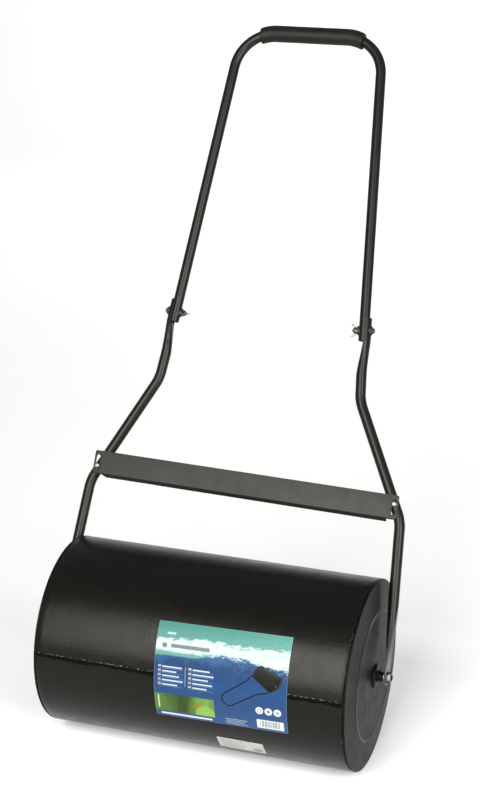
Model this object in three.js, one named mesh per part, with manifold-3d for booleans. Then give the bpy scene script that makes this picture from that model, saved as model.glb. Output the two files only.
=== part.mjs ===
// Push lawn roller: a fillable sheet-steel drum on a through axle, carried by a
// tubular steel handle frame in three pieces, with a slotted angle-section
// crossbar, a foam grip and wing-nut joints.
// Units are millimetres. +Z is up, +X runs along the axle, and the handle leans
// back towards +Y. The origin is on the ground, under the middle of the axle.

import * as THREE from 'three';
import { mergeVertices } from 'three/addons/utils/BufferGeometryUtils.js';
import Module from 'manifold-3d';

const wasm = await Module();
wasm.setup();

// ---------------------------------------------------------------- dimensions
const DRUM_R = 160;            // drum radius, centre of each facet
const SHELL_T = 1.6;           // rolled sheet thickness
const SHELL_HALF = 264.6;      // half length of the rolled shell
const CAP_BEAD_X = 268.8;      // outermost plane of the cap's rounded rim
const CAP_RING_R = 107.5;      // pressed ring in the cap
const CAP_PANEL_X = 275.3;     // outer face of the cap's middle panel
const AXLE_Z = 160;            // axle height above the ground
const AXLE_R = 8;              // through axle
const STUB_R = 5;              // threaded end of the axle
const LEAN = 27;               // handle lean from the vertical, degrees
const TUBE_R = 9;              // handle tube, outside
const TUBE_WALL = 1.4;
const EYE_X = 294.2;           // middle plane of the flattened arm ends
const EYE_T = 3;               // two tube walls pressed together
const EYE_HALF_W = 13.5;
const ARM_C1 = [280.2, 257.7]; // lower bend of the arm, x and distance up the handle
const ARM_C2 = [182.6, 450.5]; // upper bend of the arm
const ARM_BEND_R = 72;
const JOINT_X = 171.6;         // handle joint bolt
const JOINT_S = 570.8;
const UPPER_SLOPE = 0.0823;    // inward lean of the upper tubes per unit of length
const UPPER_END_S = 553;       // square-cut lower end of the upper tube
const ARM_TOP_S = 592;         // top of the crushed saddle end
const TOP_S = 1085.6;          // top tube centreline
const TOP_BEND_R = 70;
const SADDLE_R = 9.5;          // inside of the crushed end
const GRIP_R = 14.75;
const GRIP_X = [-92.5, 95.7];
const BAR_HALF = 275.2;        // crossbar
const BAR_H = 40.5;
const BAR_T = 1.5;
const BAR_FLANGE = 22;
const BAR_TILT = 1.216;        // degrees, left end higher
const BAR_S = 284.3;
const BAR_SCREW_X = 268.6;
const BAR_SCREW_S = 284.1;
const SLOT_LEN = 26;
const SLOT_W = 6.8;
const FILL_R = 125;            // filler neck, distance from the axle
const FILL_ANGLE = 198;        // degrees from +Y towards +Z
const LABEL_X = [-53.5, 173];
const LABEL_DEG = [-17.4, 41.4]; // from the front of the drum, up is positive
const STICKER_X = [46.5, 126.3];
const STICKER_DEG = [-44.9, -31.0];

const rad = THREE.MathUtils.degToRad;

// ---------------------------------------------------------------- materials
const paint = () => new THREE.MeshStandardMaterial({ color: 0x23231f, roughness: 0.42, metalness: 0.2 });
const framePaint = () => new THREE.MeshStandardMaterial({ color: 0x2b2b27, roughness: 0.5, metalness: 0.2 });
const zinc = () => new THREE.MeshStandardMaterial({ color: 0xb9bbb8, roughness: 0.35, metalness: 0.95 });
const blackPlastic = () => new THREE.MeshStandardMaterial({ color: 0x151514, roughness: 0.6, metalness: 0 });
const foam = () => new THREE.MeshStandardMaterial({ color: 0x1c1c1a, roughness: 0.9, metalness: 0 });
const rubber = () => new THREE.MeshStandardMaterial({ color: 0x111111, roughness: 0.85, metalness: 0 });
const print = () => new THREE.MeshStandardMaterial({ color: 0x2f7f9a, roughness: 0.4, metalness: 0 });
const paper = () => new THREE.MeshStandardMaterial({ color: 0xc9ccc8, roughness: 0.55, metalness: 0 });

// ---------------------------------------------------------------- solids
function solid(geometry) {
  const g = geometry.clone();
  for (const name of Object.keys(g.attributes)) if (name !== 'position') g.deleteAttribute(name);
  const m = mergeVertices(g, 1e-4);
  return new wasm.Manifold(new wasm.Mesh({
    numProp: 3,
    vertProperties: new Float32Array(m.attributes.position.array),
    triVerts: new Uint32Array(m.index.array),
  }));
}

function geometryOf(body) {
  const m = body.getMesh();
  const g = new THREE.BufferGeometry();
  const p = new Float32Array((m.vertProperties.length / m.numProp) * 3);
  for (let i = 0; i < p.length / 3; i++) {
    for (let k = 0; k < 3; k++) p[i * 3 + k] = m.vertProperties[i * m.numProp + k];
  }
  g.setAttribute('position', new THREE.BufferAttribute(p, 3));
  g.setIndex(new THREE.BufferAttribute(new Uint32Array(m.triVerts), 1));
  g.computeVertexNormals();
  return g;
}

const cut = (base, ...tools) => geometryOf(tools.reduce((b, t) => b.subtract(solid(t)), solid(base)));
const join = (base, ...others) => geometryOf(others.reduce((b, t) => b.add(solid(t)), solid(base)));

function mirrored(geometry) {
  const g = geometry.clone();
  g.scale(-1, 1, 1);
  const index = g.index.array;
  for (let i = 0; i < index.length; i += 3) [index[i], index[i + 1]] = [index[i + 1], index[i]];
  g.computeVertexNormals();
  return g;
}

// a round bar between two places along one axis
function bar(axis, from, to, r, sides = 16, r2 = r) {
  const g = new THREE.CylinderGeometry(r2, r, to - from, sides);
  if (axis === 'x') g.rotateZ(-Math.PI / 2);
  if (axis === 'z') g.rotateX(Math.PI / 2);
  const mid = (from + to) / 2;
  g.translate(axis === 'x' ? mid : 0, axis === 'y' ? mid : 0, axis === 'z' ? mid : 0);
  return g;
}

// a ring or stepped round part about X, from a closed outline of [x, r] points
function turned(outline, sides) {
  const pts = outline.map(([x, r]) => new THREE.Vector2(r, x));
  pts.push(pts[0].clone());
  const g = new THREE.LatheGeometry(pts, sides);
  g.rotateZ(-Math.PI / 2);
  // put the middle of a facet, not an edge, at the bottom
  g.rotateX(Math.PI / sides);
  return g;
}

// Lathe faces follow the outline's direction, so a solid that comes out inside
// out is turned round.
function outward(geometry) {
  const g = mergeVertices((() => { const c = geometry.clone(); for (const n of Object.keys(c.attributes)) if (n !== 'position') c.deleteAttribute(n); return c; })(), 1e-4);
  const p = g.attributes.position, ix = g.index.array;
  let v = 0;
  const a = new THREE.Vector3(), b = new THREE.Vector3(), c = new THREE.Vector3();
  for (let i = 0; i < ix.length; i += 3) {
    a.fromBufferAttribute(p, ix[i]); b.fromBufferAttribute(p, ix[i + 1]); c.fromBufferAttribute(p, ix[i + 2]);
    v += a.dot(b.cross(c));
  }
  if (v < 0) for (let i = 0; i < ix.length; i += 3) [ix[i], ix[i + 1]] = [ix[i + 1], ix[i]];
  g.computeVertexNormals();
  return g;
}

const ring = (x0, x1, r, bore, sides = 14) =>
  outward(turned([[x0, bore], [x1, bore], [x1, r], [x0, r]], sides));

// ---------------------------------------------------------------- centrelines
// Points are [x, s]: across the handle and up it. Corners with a radius become
// arcs; each place on the line knows its direction.
function centreline(points, arcSteps = 6) {
  const out = [];
  for (let i = 0; i < points.length; i++) {
    const [x, s, r] = points[i];
    const P = new THREE.Vector2(x, s);
    if (i === 0 || i === points.length - 1 || !r) {
      const A = new THREE.Vector2(...points[Math.max(i - 1, 0)].slice(0, 2));
      const B = new THREE.Vector2(...points[Math.min(i + 1, points.length - 1)].slice(0, 2));
      const d1 = i === 0 ? B.clone().sub(P) : P.clone().sub(A);
      const d2 = i === points.length - 1 ? d1 : B.clone().sub(P);
      out.push({ p: P, t: d1.normalize().add(d2.clone().normalize()).normalize() });
      continue;
    }
    const A = new THREE.Vector2(...points[i - 1].slice(0, 2));
    const B = new THREE.Vector2(...points[i + 1].slice(0, 2));
    const u = P.clone().sub(A).normalize(), w = B.clone().sub(P).normalize();
    const turn = Math.atan2(u.x * w.y - u.y * w.x, u.dot(w));
    const lead = r * Math.tan(Math.abs(turn) / 2);
    const start = P.clone().addScaledVector(u, -lead);
    const side = Math.sign(turn);
    const centre = start.clone().add(new THREE.Vector2(-u.y, u.x).multiplyScalar(side * r));
    for (let k = 0; k <= arcSteps; k++) {
      const a = (turn * k) / arcSteps;
      const from = start.clone().sub(centre);
      const q = new THREE.Vector2(from.x * Math.cos(a) - from.y * Math.sin(a), from.x * Math.sin(a) + from.y * Math.cos(a)).add(centre);
      const t = new THREE.Vector2(u.x * Math.cos(a) - u.y * Math.sin(a), u.x * Math.sin(a) + u.y * Math.cos(a));
      out.push({ p: q, t });
    }
  }
  return out;
}

// A solid through a row of stations, made by reshaping a closed cylinder.
// Each station has a place, a direction and a section of [outward, back] points.
function loft(stations, sides, section) {
  const n = stations.length - 1;
  const g = new THREE.CylinderGeometry(1, 1, 1, sides, n);
  for (const name of ['normal', 'uv']) g.deleteAttribute(name);
  const p = g.attributes.position;
  for (let i = 0; i < p.count; i++) {
    const k = Math.round((0.5 - p.getY(i)) * n);
    const st = stations[k];
    const centre = Math.hypot(p.getX(i), p.getZ(i)) < 0.5;
    const angle = Math.atan2(p.getX(i), p.getZ(i));
    const [a, b] = centre ? section(st, null, k) : section(st, angle, k);
    p.setXYZ(i, st.p.x + a * st.t.y, b, st.p.y - a * st.t.x);
  }
  return outward(g);
}

const circle = (r) => (st, angle) => (angle === null ? [0, 0] : [r * Math.cos(angle), r * Math.sin(angle)]);

// ---------------------------------------------------------------- lower arm
const lineX = (s) => JOINT_X + (JOINT_S - s) * UPPER_SLOPE; // upper tube's axis, and its extension down
const armPoints = [
  [EYE_X, -13.1], [EYE_X, -11], [EYE_X, -6.5], [EYE_X, 4], [EYE_X, 30],
  ...[50, 68, 88, 112].map((s) => [EYE_X - ((s - 30) * (EYE_X - ARM_C1[0])) / (ARM_C1[1] - 30), s]),
  [...ARM_C1, ARM_BEND_R], [...ARM_C2, ARM_BEND_R],
  ...[497, 511, 524, 538, 552, ARM_TOP_S].map((s) => [lineX(s), s]),
];
const smooth = (t) => { const c = Math.min(1, Math.max(0, t)); return c * c * (3 - 2 * c); };

function armSection(inset) {
  return (st, angle) => {
    const s = st.p.y;
    if (s < 150) {
      const flat = 1 - smooth((s - 30) / 82);
      let h = TUBE_R + (EYE_T / 2 - TUBE_R) * flat - inset;
      let w = TUBE_R + (EYE_HALF_W - TUBE_R) * flat - inset;
      if (s < 0) w = Math.sqrt(Math.max(EYE_HALF_W ** 2 - s * s, 0.1));
      h = Math.max(h, 0.35);
      if (angle === null) return [0, 0];
      const sharp = 1 + 2 * flat;
      return [h * Math.max(-1, Math.min(1, Math.cos(angle) * sharp)), w * Math.sin(angle)];
    }
    const crush = Math.min(1, Math.max(0, (s - 496) / 56)) ** 1.8;
    const r = TUBE_R - inset + (SADDLE_R + 3 - TUBE_R) * crush;
    if (angle === null) return [5 * crush, 0];
    const c = Math.cos(angle), f = angle * (1 - crush * (15 / 90));
    if (c > -1e-9) return [r * Math.cos(f), r * Math.sin(f)];
    const limit = (Math.PI / 2) * (1 - crush * (15 / 90));
    const flatA = r * Math.cos(limit) - 1.2 * -c, flatB = r * Math.sin(limit) * Math.sin(angle);
    return [(1 - crush) * r * c + crush * flatA, (1 - crush) * r * Math.sin(angle) + crush * flatB];
  };
}

function lowerArm() {
  const line = centreline(armPoints, 4);
  const outer = loft(line, 16, armSection(0));
  const bore = loft(line.filter((st) => st.p.y > 49 && st.p.y < 500), 10, armSection(TUBE_WALL));
  // the scoop that turns the top of the tube into a half-round saddle
  const scoop = loft(
    [[480, -24], [492, -19.6], [507, -17.3], [524, -14.4], [538, -11.2], [550.6, -8], [552.2, 0], [572, 0], [600, 0]].map(([s, a]) => {
      const t = new THREE.Vector2(-UPPER_SLOPE, 1).normalize();
      return { p: new THREE.Vector2(lineX(s) + a * t.y, s - a * t.x), t };
    }), 18, circle(SADDLE_R));
  const eye = bar('x', EYE_X - 12, EYE_X + 12, STUB_R + 0.35, 16);
  const screw = bar('y', -20, 20, 2.8, 12);
  screw.translate(BAR_SCREW_X, 0, BAR_SCREW_S);
  const bolt = bar('x', 0, 30, 3.4, 12);
  bolt.rotateY(-Math.atan(UPPER_SLOPE));
  bolt.translate(JOINT_X, 0, JOINT_S);
  return cut(outer, bore, scoop, eye, screw, bolt);
}

// ---------------------------------------------------------------- upper handle
const topX = JOINT_X - (TOP_S - JOINT_S) * UPPER_SLOPE;
const upperPoints = [
  [-lineX(UPPER_END_S), UPPER_END_S], [-topX, TOP_S, TOP_BEND_R], [topX, TOP_S, TOP_BEND_R], [lineX(UPPER_END_S), UPPER_END_S],
];

function upperHandle() {
  const line = centreline(upperPoints, 6);
  const grown = line.map((st) => ({ p: st.p.clone(), t: st.t.clone() }));
  grown[0].p.addScaledVector(grown[0].t, -5);
  grown[grown.length - 1].p.addScaledVector(grown[grown.length - 1].t, 5);
  const tools = [loft(grown, 10, circle(TUBE_R - TUBE_WALL))];
  for (const side of [-1, 1]) {
    const bolt = bar('x', -15, 15, 3.4, 12);
    bolt.rotateY(-side * Math.atan(UPPER_SLOPE));
    bolt.translate(side * JOINT_X, 0, JOINT_S);
    tools.push(bolt);
  }
  return cut(loft(line, 14, circle(TUBE_R)), ...tools);
}

function foamGrip() {
  // the grip follows the top tube and the first part of both bends
  const turn = Math.PI / 2 - Math.atan(UPPER_SLOPE);
  const lead = TOP_BEND_R * Math.tan(turn / 2);
  const flatHalf = topX - lead;
  const at = (x) => {
    const past = Math.max(0, Math.abs(x) - flatHalf);
    const a = Math.asin(past / TOP_BEND_R), side = Math.sign(x) || 1;
    return { p: new THREE.Vector2(x, TOP_S - TOP_BEND_R * (1 - Math.cos(a))), t: new THREE.Vector2(Math.cos(a), -side * Math.sin(a)) };
  };
  const xs = [GRIP_X[0], -84, -75, -flatHalf, 0, flatHalf, 75, 84, GRIP_X[1]];
  const line = xs.map(at);
  const grown = line.map((st) => ({ p: st.p.clone(), t: st.t.clone() }));
  grown[0].p.addScaledVector(grown[0].t, -3);
  grown[grown.length - 1].p.addScaledVector(grown[grown.length - 1].t, 3);
  return cut(loft(line, 14, circle(GRIP_R)), loft(grown, 14, circle(TUBE_R + 0.6)));
}

// ---------------------------------------------------------------- crossbar
function crossbar() {
  const h = BAR_H / 2, c = 2.5;
  const face = new THREE.Shape();
  face.moveTo(-BAR_HALF + c, -h); face.lineTo(BAR_HALF - c, -h); face.lineTo(BAR_HALF, -h + c);
  face.lineTo(BAR_HALF, h - c); face.lineTo(BAR_HALF - c, h); face.lineTo(-BAR_HALF + c, h);
  face.lineTo(-BAR_HALF, h - c); face.lineTo(-BAR_HALF, -h + c); face.closePath();
  for (const side of [-1, 1]) {
    const slot = new THREE.Path();
    const r = SLOT_W / 2, l = SLOT_LEN / 2 - r;
    slot.absarc(side * BAR_SCREW_X, l, r, 0, Math.PI, false);
    slot.absarc(side * BAR_SCREW_X, -l, r, Math.PI, 2 * Math.PI, false);
    slot.closePath();
    face.holes.push(slot);
  }
  const plate = new THREE.ExtrudeGeometry(face, { depth: BAR_T, bevelEnabled: false, curveSegments: 5 });
  plate.rotateX(Math.PI / 2);            // outline now in X and s, thickness towards the front
  plate.translate(0, -TUBE_R - 0.3, 0);  // just in front of the tubes
  const lip = new THREE.Shape();         // seen from above: x, and depth behind the face
  lip.moveTo(-259, -BAR_T); lip.lineTo(258.2, -BAR_T); lip.lineTo(258.2, 1); lip.lineTo(253.6, BAR_FLANGE - BAR_T);
  lip.lineTo(-254.4, BAR_FLANGE - BAR_T); lip.lineTo(-259, 1); lip.closePath();
  const flange = new THREE.ExtrudeGeometry(lip, { depth: BAR_T, bevelEnabled: false });
  flange.rotateX(-rad(10));
  flange.translate(0, -TUBE_R - 0.3, -h);
  const g = join(plate, flange);
  g.rotateY(rad(BAR_TILT));
  g.translate(0, 0, BAR_S);
  return g;
}

// ---------------------------------------------------------------- drum
const bead = [];
for (let k = 0; k <= 2; k++) {
  const a = (k * Math.PI) / 4;
  bead.push([CAP_BEAD_X - 3.9 + 3.9 * Math.sin(a), 156 + 3.9 * Math.cos(a)]);
}
const capOutline = [
  [250, 156.4], [250, 157.9], [CAP_BEAD_X - 3.9, 157.9], ...bead,
  [273.3, CAP_RING_R + 3], [274.3, CAP_RING_R], [274.0, CAP_RING_R - 4], [CAP_PANEL_X, AXLE_R + 0.4],
  [CAP_PANEL_X - 1.5, AXLE_R + 0.4], [272.4, CAP_RING_R - 2], [266.2, 156.4],
];
const fillY = FILL_R * Math.cos(rad(FILL_ANGLE)), fillZ = FILL_R * Math.sin(rad(FILL_ANGLE));

function leftCap() {
  const hole = bar('x', -300, -240, 14.3, 16);
  hole.translate(0, fillY, fillZ);
  return cut(mirrored(outward(turned(capOutline, 40))), hole);
}

function axle() {
  const body = outward(turned([
    [-304.5, 0], [304.5, 0], [304.5, STUB_R - 1], [303.5, STUB_R], [290.6, STUB_R], [290.6, AXLE_R],
    [-290.6, AXLE_R], [-290.6, STUB_R], [-303.5, STUB_R], [-304.5, STUB_R - 1],
  ], 16));
  const tools = [-284.6, 284.6].map((x) => {
    const g = bar('z', -12, 12, 1.75, 10);
    g.rotateX(rad(10));
    g.translate(x, 0, 0);
    return g;
  });
  return cut(body, ...tools);
}

function splitPin() {
  // eye above the axle, two legs pressed together through it, ends bent apart
  const eye = new THREE.TorusGeometry(3, 1.1, 6, 10);
  eye.rotateX(Math.PI / 2);
  eye.rotateZ(Math.PI / 2);
  eye.rotateX(Math.PI / 2);
  eye.translate(0, 0, 14.2);
  const stem = bar('z', -11.5, 12, 1.25, 10);
  const legA = bar('z', -8.5, 0.6, 0.95, 8);
  legA.rotateX(-rad(38));
  legA.translate(0, 0, -11);
  const legB = bar('z', -4.5, 0.6, 0.95, 8);
  legB.rotateX(rad(42));
  legB.translate(0, 0, -11);
  const g = join(stem, eye, legA, legB);
  g.rotateX(rad(10));
  return g;
}

function hexNut(x0, x1, flats, bore, sides = 16) {
  const g = bar('x', x0, x1, flats / 2 / Math.cos(Math.PI / 6), 6);
  return cut(g, bar('x', x0 - 1, x1 + 1, bore, sides));
}

function sector(x, deg, r0, r1, steps) {
  // angle 0 is the front of the drum, positive is up
  const s = new THREE.Shape();
  const at = (r, d) => [-r * Math.cos(rad(d)), r * Math.sin(rad(d))];
  const angles = Array.from({ length: steps + 1 }, (_, k) => deg[0] + ((deg[1] - deg[0]) * k) / steps);
  s.moveTo(...at(r0, angles[0]));
  for (const d of angles.slice(1)) s.lineTo(...at(r0, d));
  for (const d of angles.slice().reverse()) s.lineTo(...at(r1, d));
  s.closePath();
  const g = new THREE.ExtrudeGeometry(s, { depth: x[1] - x[0], bevelEnabled: false });
  // outline is in (y, z); extrusion runs along +X
  const m = new THREE.Matrix4().makeBasis(new THREE.Vector3(0, 1, 0), new THREE.Vector3(0, 0, 1), new THREE.Vector3(1, 0, 0));
  g.applyMatrix4(m);
  g.translate(x[0], 0, 0);
  return outward(g);
}

function fillerPlug() {
  const body = turned([
    [-262, 0], [-262, 9.8], [-263, 10.9], [-275.1, 10.9], [-275.1, 16.5], [-276.6, 16.5], [-277.3, 15.7], [-277.3, 0],
  ], 20);
  const slot = new THREE.BoxGeometry(3, 15, 3);
  slot.translate(-277.3, 0, 0);
  return cut(outward(body), slot);
}

// ---------------------------------------------------------------- joint hardware
// Local frame at a joint: +X away from the handle's middle, +Z up the tube.
function saddle(from, to, hollowR, hollowAxisSign) {
  const disc = bar('x', Math.min(from, to), Math.max(from, to), 8, 20);
  return cut(disc, bar('z', -12, 12, hollowR, 28), bar('x', Math.min(from, to) - 1, Math.max(from, to) + 1, 3.4, 12));
}
const outerSaddle = () => saddle(9.6, 14.2, SADDLE_R + 3.35);
const innerSaddle = () => saddle(-11.0, -6.2, TUBE_R + 0.35);

function jointBolt() {
  const head = bar('x', 14.5, 17.7, 5.2, 6);
  const shank = bar('x', -20.2, 14.8, 3, 12);
  return join(shank, head);
}

function wingNut() {
  const hub = turned([[-12.9, 0], [-12.9, 5.6], [-17.4, 4.9], [-18.3, 4.2], [-18.3, 0]], 16);
  const wing = new THREE.Shape(); // distance out from the bolt, and along it away from the tube
  wing.moveTo(2, 13.4); wing.lineTo(5, 13.4); wing.lineTo(8.8, 16.0); wing.lineTo(11.3, 19.4); wing.lineTo(11.6, 21.6);
  wing.lineTo(9.9, 22.6); wing.lineTo(7.9, 21.8); wing.lineTo(5.8, 18.8); wing.lineTo(2, 17.4); wing.closePath();
  const parts = [0, Math.PI].map((turn) => {
    const g = new THREE.ExtrudeGeometry(wing, { depth: 2.2, bevelEnabled: false });
    g.translate(0, 0, -1.1);
    const m = new THREE.Matrix4().makeBasis(new THREE.Vector3(0, 0, 1), new THREE.Vector3(-1, 0, 0), new THREE.Vector3(0, -1, 0));
    g.applyMatrix4(m);
    g.rotateX(turn);
    return outward(g);
  });
  const all = join(outward(hub), ...parts);
  return cut(all, bar('x', -30, -10, 3.35, 12));
}

// ---------------------------------------------------------------- assembly
const roller = new THREE.Group();
const drum = new THREE.Group();
drum.position.set(0, 0, AXLE_Z);
const handle = new THREE.Group();
handle.position.set(0, 0, AXLE_Z);
handle.rotation.x = -rad(LEAN);
roller.add(drum, handle);

function add(group, name, geometry, material) {
  const mesh = new THREE.Mesh(geometry, material);
  mesh.name = name;
  group.add(mesh);
  return mesh;
}

// drum
add(drum, 'drum_shell', outward(turned([
  [-SHELL_HALF, (DRUM_R - SHELL_T) / Math.cos(Math.PI / 96)], [SHELL_HALF, (DRUM_R - SHELL_T) / Math.cos(Math.PI / 96)],
  [SHELL_HALF, DRUM_R / Math.cos(Math.PI / 96)], [-SHELL_HALF, DRUM_R / Math.cos(Math.PI / 96)],
], 96)), paint());
add(drum, 'right_end_cap', outward(turned(capOutline, 40)), paint());
add(drum, 'left_end_cap', leftCap(), paint());
const hubOutline = [[CAP_PANEL_X + 0.3, AXLE_R + 0.35], [CAP_PANEL_X + 0.3, 19.5], [CAP_PANEL_X + 3, 19.5], [CAP_PANEL_X + 4.2, 17.8], [CAP_PANEL_X + 4.2, AXLE_R + 0.35]];
const hub = outward(turned(hubOutline, 24));
add(drum, 'right_hub_flange', hub, paint());
add(drum, 'left_hub_flange', mirrored(hub), paint());
add(drum, 'axle', axle(), framePaint());
for (const [name, side] of [['right', 1], ['left', -1]]) {
  const flip = (g) => (side === 1 ? g : mirrored(g));
  add(drum, `${name}_inner_washer`, flip(ring(290.9, 292.3, 10.5, STUB_R + 0.35)), zinc());
  add(drum, `${name}_outer_washer`, flip(ring(296.1, 297.5, 10, STUB_R + 0.35)), zinc());
  add(drum, `${name}_axle_nut`, flip(hexNut(297.8, 302.8, 17, STUB_R + 0.35)), zinc());
  const pin = add(drum, `${name}_split_pin`, splitPin(), zinc());
  pin.position.x = side * 284.6;
}
const neck = outward(turned([[-258, 11.3], [-273.5, 11.3], [-273.5, 14], [-258, 14]], 20));
const filler = new THREE.Group();
filler.position.set(0, fillY, fillZ);
drum.add(filler);
add(filler, 'filler_neck', neck, paint());
add(filler, 'plug_seal', outward(turned([[-273.8, 11.3], [-274.8, 11.3], [-274.8, 15.6], [-273.8, 15.6]], 20)), rubber());
add(filler, 'filler_plug', fillerPlug(), blackPlastic());
add(drum, 'drum_label', sector(LABEL_X, LABEL_DEG, DRUM_R + 0.4, DRUM_R + 0.65, 14), print());
add(drum, 'data_sticker', sector(STICKER_X, STICKER_DEG, DRUM_R + 0.4, DRUM_R + 0.6, 4), paper());

// handle frame
const rightArm = lowerArm();
add(handle, 'right_lower_arm', rightArm, framePaint());
add(handle, 'left_lower_arm', mirrored(rightArm), framePaint());
add(handle, 'upper_handle', upperHandle(), framePaint());
add(handle, 'foam_grip', foamGrip(), foam());
add(handle, 'crossbar', crossbar(), framePaint());

for (const [name, side] of [['right', 1], ['left', -1]]) {
  const joint = new THREE.Group();
  joint.position.set(side * JOINT_X, 0, JOINT_S);
  joint.rotation.y = -side * Math.atan(UPPER_SLOPE);
  handle.add(joint);
  const turnRound = new THREE.Group(); // the left joint is the right one turned half a turn
  turnRound.rotation.z = side === 1 ? 0 : Math.PI;
  joint.add(turnRound);
  add(turnRound, `${name}_joint_bolt`, jointBolt(), zinc());
  add(turnRound, `${name}_outer_saddle_washer`, outerSaddle(), blackPlastic());
  add(turnRound, `${name}_inner_saddle_washer`, innerSaddle(), blackPlastic());
  add(turnRound, `${name}_joint_washer`, ring(-12.6, -11.4, 6.4, 3.35, 12), zinc());
  const nut = add(turnRound, `${name}_wing_nut`, wingNut(), zinc());
  nut.rotation.x = side === 1 ? rad(4) : rad(84);

  const screw = new THREE.Group();
  screw.position.set(side * BAR_SCREW_X, 0, BAR_SCREW_S);
  handle.add(screw);
  const head = outward((() => {
    const g = bar('y', -14.3, -11.1, 4.75, 16);
    const p = g.attributes.position;
    for (let i = 0; i < p.count; i++) if (p.getY(i) < -14) { p.setX(i, p.getX(i) * 0.55); p.setZ(i, p.getZ(i) * 0.55); }
    return g;
  })());
  add(screw, `${name}_crossbar_screw`, join(bar('y', -11.5, 17, 2.5, 12), head), zinc());
  const turnToY = (g) => { g.rotateZ(Math.PI / 2); return g; };
  add(screw, `${name}_crossbar_washer`, turnToY(ring(9.4, 10.4, 5.2, 2.85, 12)), zinc());
  add(screw, `${name}_crossbar_nut`, turnToY(hexNut(10.7, 14.7, 8, 2.85, 12)), zinc());
}

export default roller;
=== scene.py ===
# Lawn roller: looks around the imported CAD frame. Metres, +Z up.
import math

import bmesh
import bpy
import numpy as np
from mathutils import Matrix, Vector, noise


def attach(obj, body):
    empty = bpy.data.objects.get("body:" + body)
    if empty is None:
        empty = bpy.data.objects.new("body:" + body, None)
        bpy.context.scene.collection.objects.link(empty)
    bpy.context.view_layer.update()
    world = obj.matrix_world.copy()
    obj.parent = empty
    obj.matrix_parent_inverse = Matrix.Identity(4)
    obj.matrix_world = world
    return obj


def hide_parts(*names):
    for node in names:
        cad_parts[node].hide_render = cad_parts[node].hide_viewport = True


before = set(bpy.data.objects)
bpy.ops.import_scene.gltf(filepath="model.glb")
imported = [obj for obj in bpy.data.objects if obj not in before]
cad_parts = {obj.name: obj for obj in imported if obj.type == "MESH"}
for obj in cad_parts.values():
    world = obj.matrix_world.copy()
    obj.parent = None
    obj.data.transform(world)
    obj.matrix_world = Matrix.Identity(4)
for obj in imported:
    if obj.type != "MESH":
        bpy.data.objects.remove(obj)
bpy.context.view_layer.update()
MM = 0.001

# ------------------------------------------------------------------ dimensions (mm), as in the CAD model
AXLE_Z, DRUM_R, SHELL_HALF, LEAN = 160.0, 160.0, 264.6, math.radians(27)
TUBE_R, TUBE_WALL = 9.0, 1.4
EYE_X, EYE_T, EYE_W = 294.2, 3.0, 13.5
ARM_C1, ARM_C2, ARM_BEND_R = (280.2, 257.7), (182.6, 450.5), 72.0
JOINT_X, JOINT_S, SLOPE = 171.6, 570.8, 0.0823
UPPER_END_S, ARM_TOP_S, TOP_S, TOP_BEND_R = 553.0, 592.0, 1085.6, 70.0
SADDLE_R, GRIP_R, GRIP_X = 9.5, 14.75, (-92.5, 95.7)
BAR_HALF, BAR_H, BAR_T, BAR_FLANGE = 275.2, 40.5, 1.5, 22.0
BAR_TILT, BAR_S, BAR_SCREW_X, BAR_SCREW_S = math.radians(1.216), 284.3, 268.6, 284.1
SLOT_LEN, SLOT_W = 26.0, 6.8
FILL_R, FILL_A = 125.0, math.radians(198)
CAP_X = 275.3

# ------------------------------------------------------------------ frames
def mat4(rows):
    return np.array(rows, float)

HANDLE = mat4([[1, 0, 0, 0], [0, math.cos(LEAN), math.sin(LEAN), 0], [0, -math.sin(LEAN), math.cos(LEAN), AXLE_Z], [0, 0, 0, 1]])
DRUM = mat4([[1, 0, 0, 0], [0, 1, 0, 0], [0, 0, 1, AXLE_Z], [0, 0, 0, 1]])

def shift(x, y, z):
    m = np.eye(4); m[:3, 3] = (x, y, z); return m

def rot(axis, a):
    return np.array(Matrix.Rotation(a, 4, axis))

def joint_frame(side):
    m = HANDLE @ shift(side * JOINT_X, 0, JOINT_S) @ rot("Y", -side * math.atan(SLOPE))
    return m if side == 1 else m @ rot("Z", math.pi)

def screw_frame(side):
    return HANDLE @ shift(side * BAR_SCREW_X, 0, BAR_SCREW_S)

MIRROR = np.diag([-1.0, 1, 1, 1])

# ------------------------------------------------------------------ mesh helpers (all in mm until link())
class M:
    """A mesh being built: vertices in millimetres, faces, and optional point attributes."""
    def __init__(self, v, f, attrs=None):
        self.v = np.asarray(v, float).reshape(-1, 3)
        self.f = [tuple(int(i) for i in q) for q in f]
        self.attrs = attrs or {}

    def at(self, m):
        v = self.v @ m[:3, :3].T + m[:3, 3]
        f = self.f if np.linalg.det(m[:3, :3]) > 0 else [q[::-1] for q in self.f]
        return M(v, f, self.attrs)

    def __add__(self, o):
        n = len(self.v)
        return M(np.vstack([self.v, o.v]), self.f + [tuple(i + n for i in q) for q in o.f])


def link(name, m, mat, body, *nodes, angle=32.0, slot=None):
    me = bpy.data.meshes.new(name)
    me.from_pydata((m.v * MM).tolist(), [], m.f)
    me.update()
    for key, val in m.attrs.items():
        a = me.attributes.new(key, "FLOAT_VECTOR", "POINT")
        a.data.foreach_set("vector", np.asarray(val, np.float32).ravel())
    ob = bpy.data.objects.new(name, me)
    bpy.context.scene.collection.objects.link(ob)
    finish_mesh(ob, mat, angle)
    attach(ob, body)
    if nodes:
        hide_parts(*nodes)
    return ob


def finish_mesh(ob, mat, angle=32.0):
    me = ob.data
    me.materials.clear()
    me.materials.append(mat)
    bm = bmesh.new(); bm.from_mesh(me)
    bmesh.ops.recalc_face_normals(bm, faces=bm.faces)
    bm.to_mesh(me); bm.free()
    me.shade_smooth()
    me.set_sharp_from_angle(angle=math.radians(angle))


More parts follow.
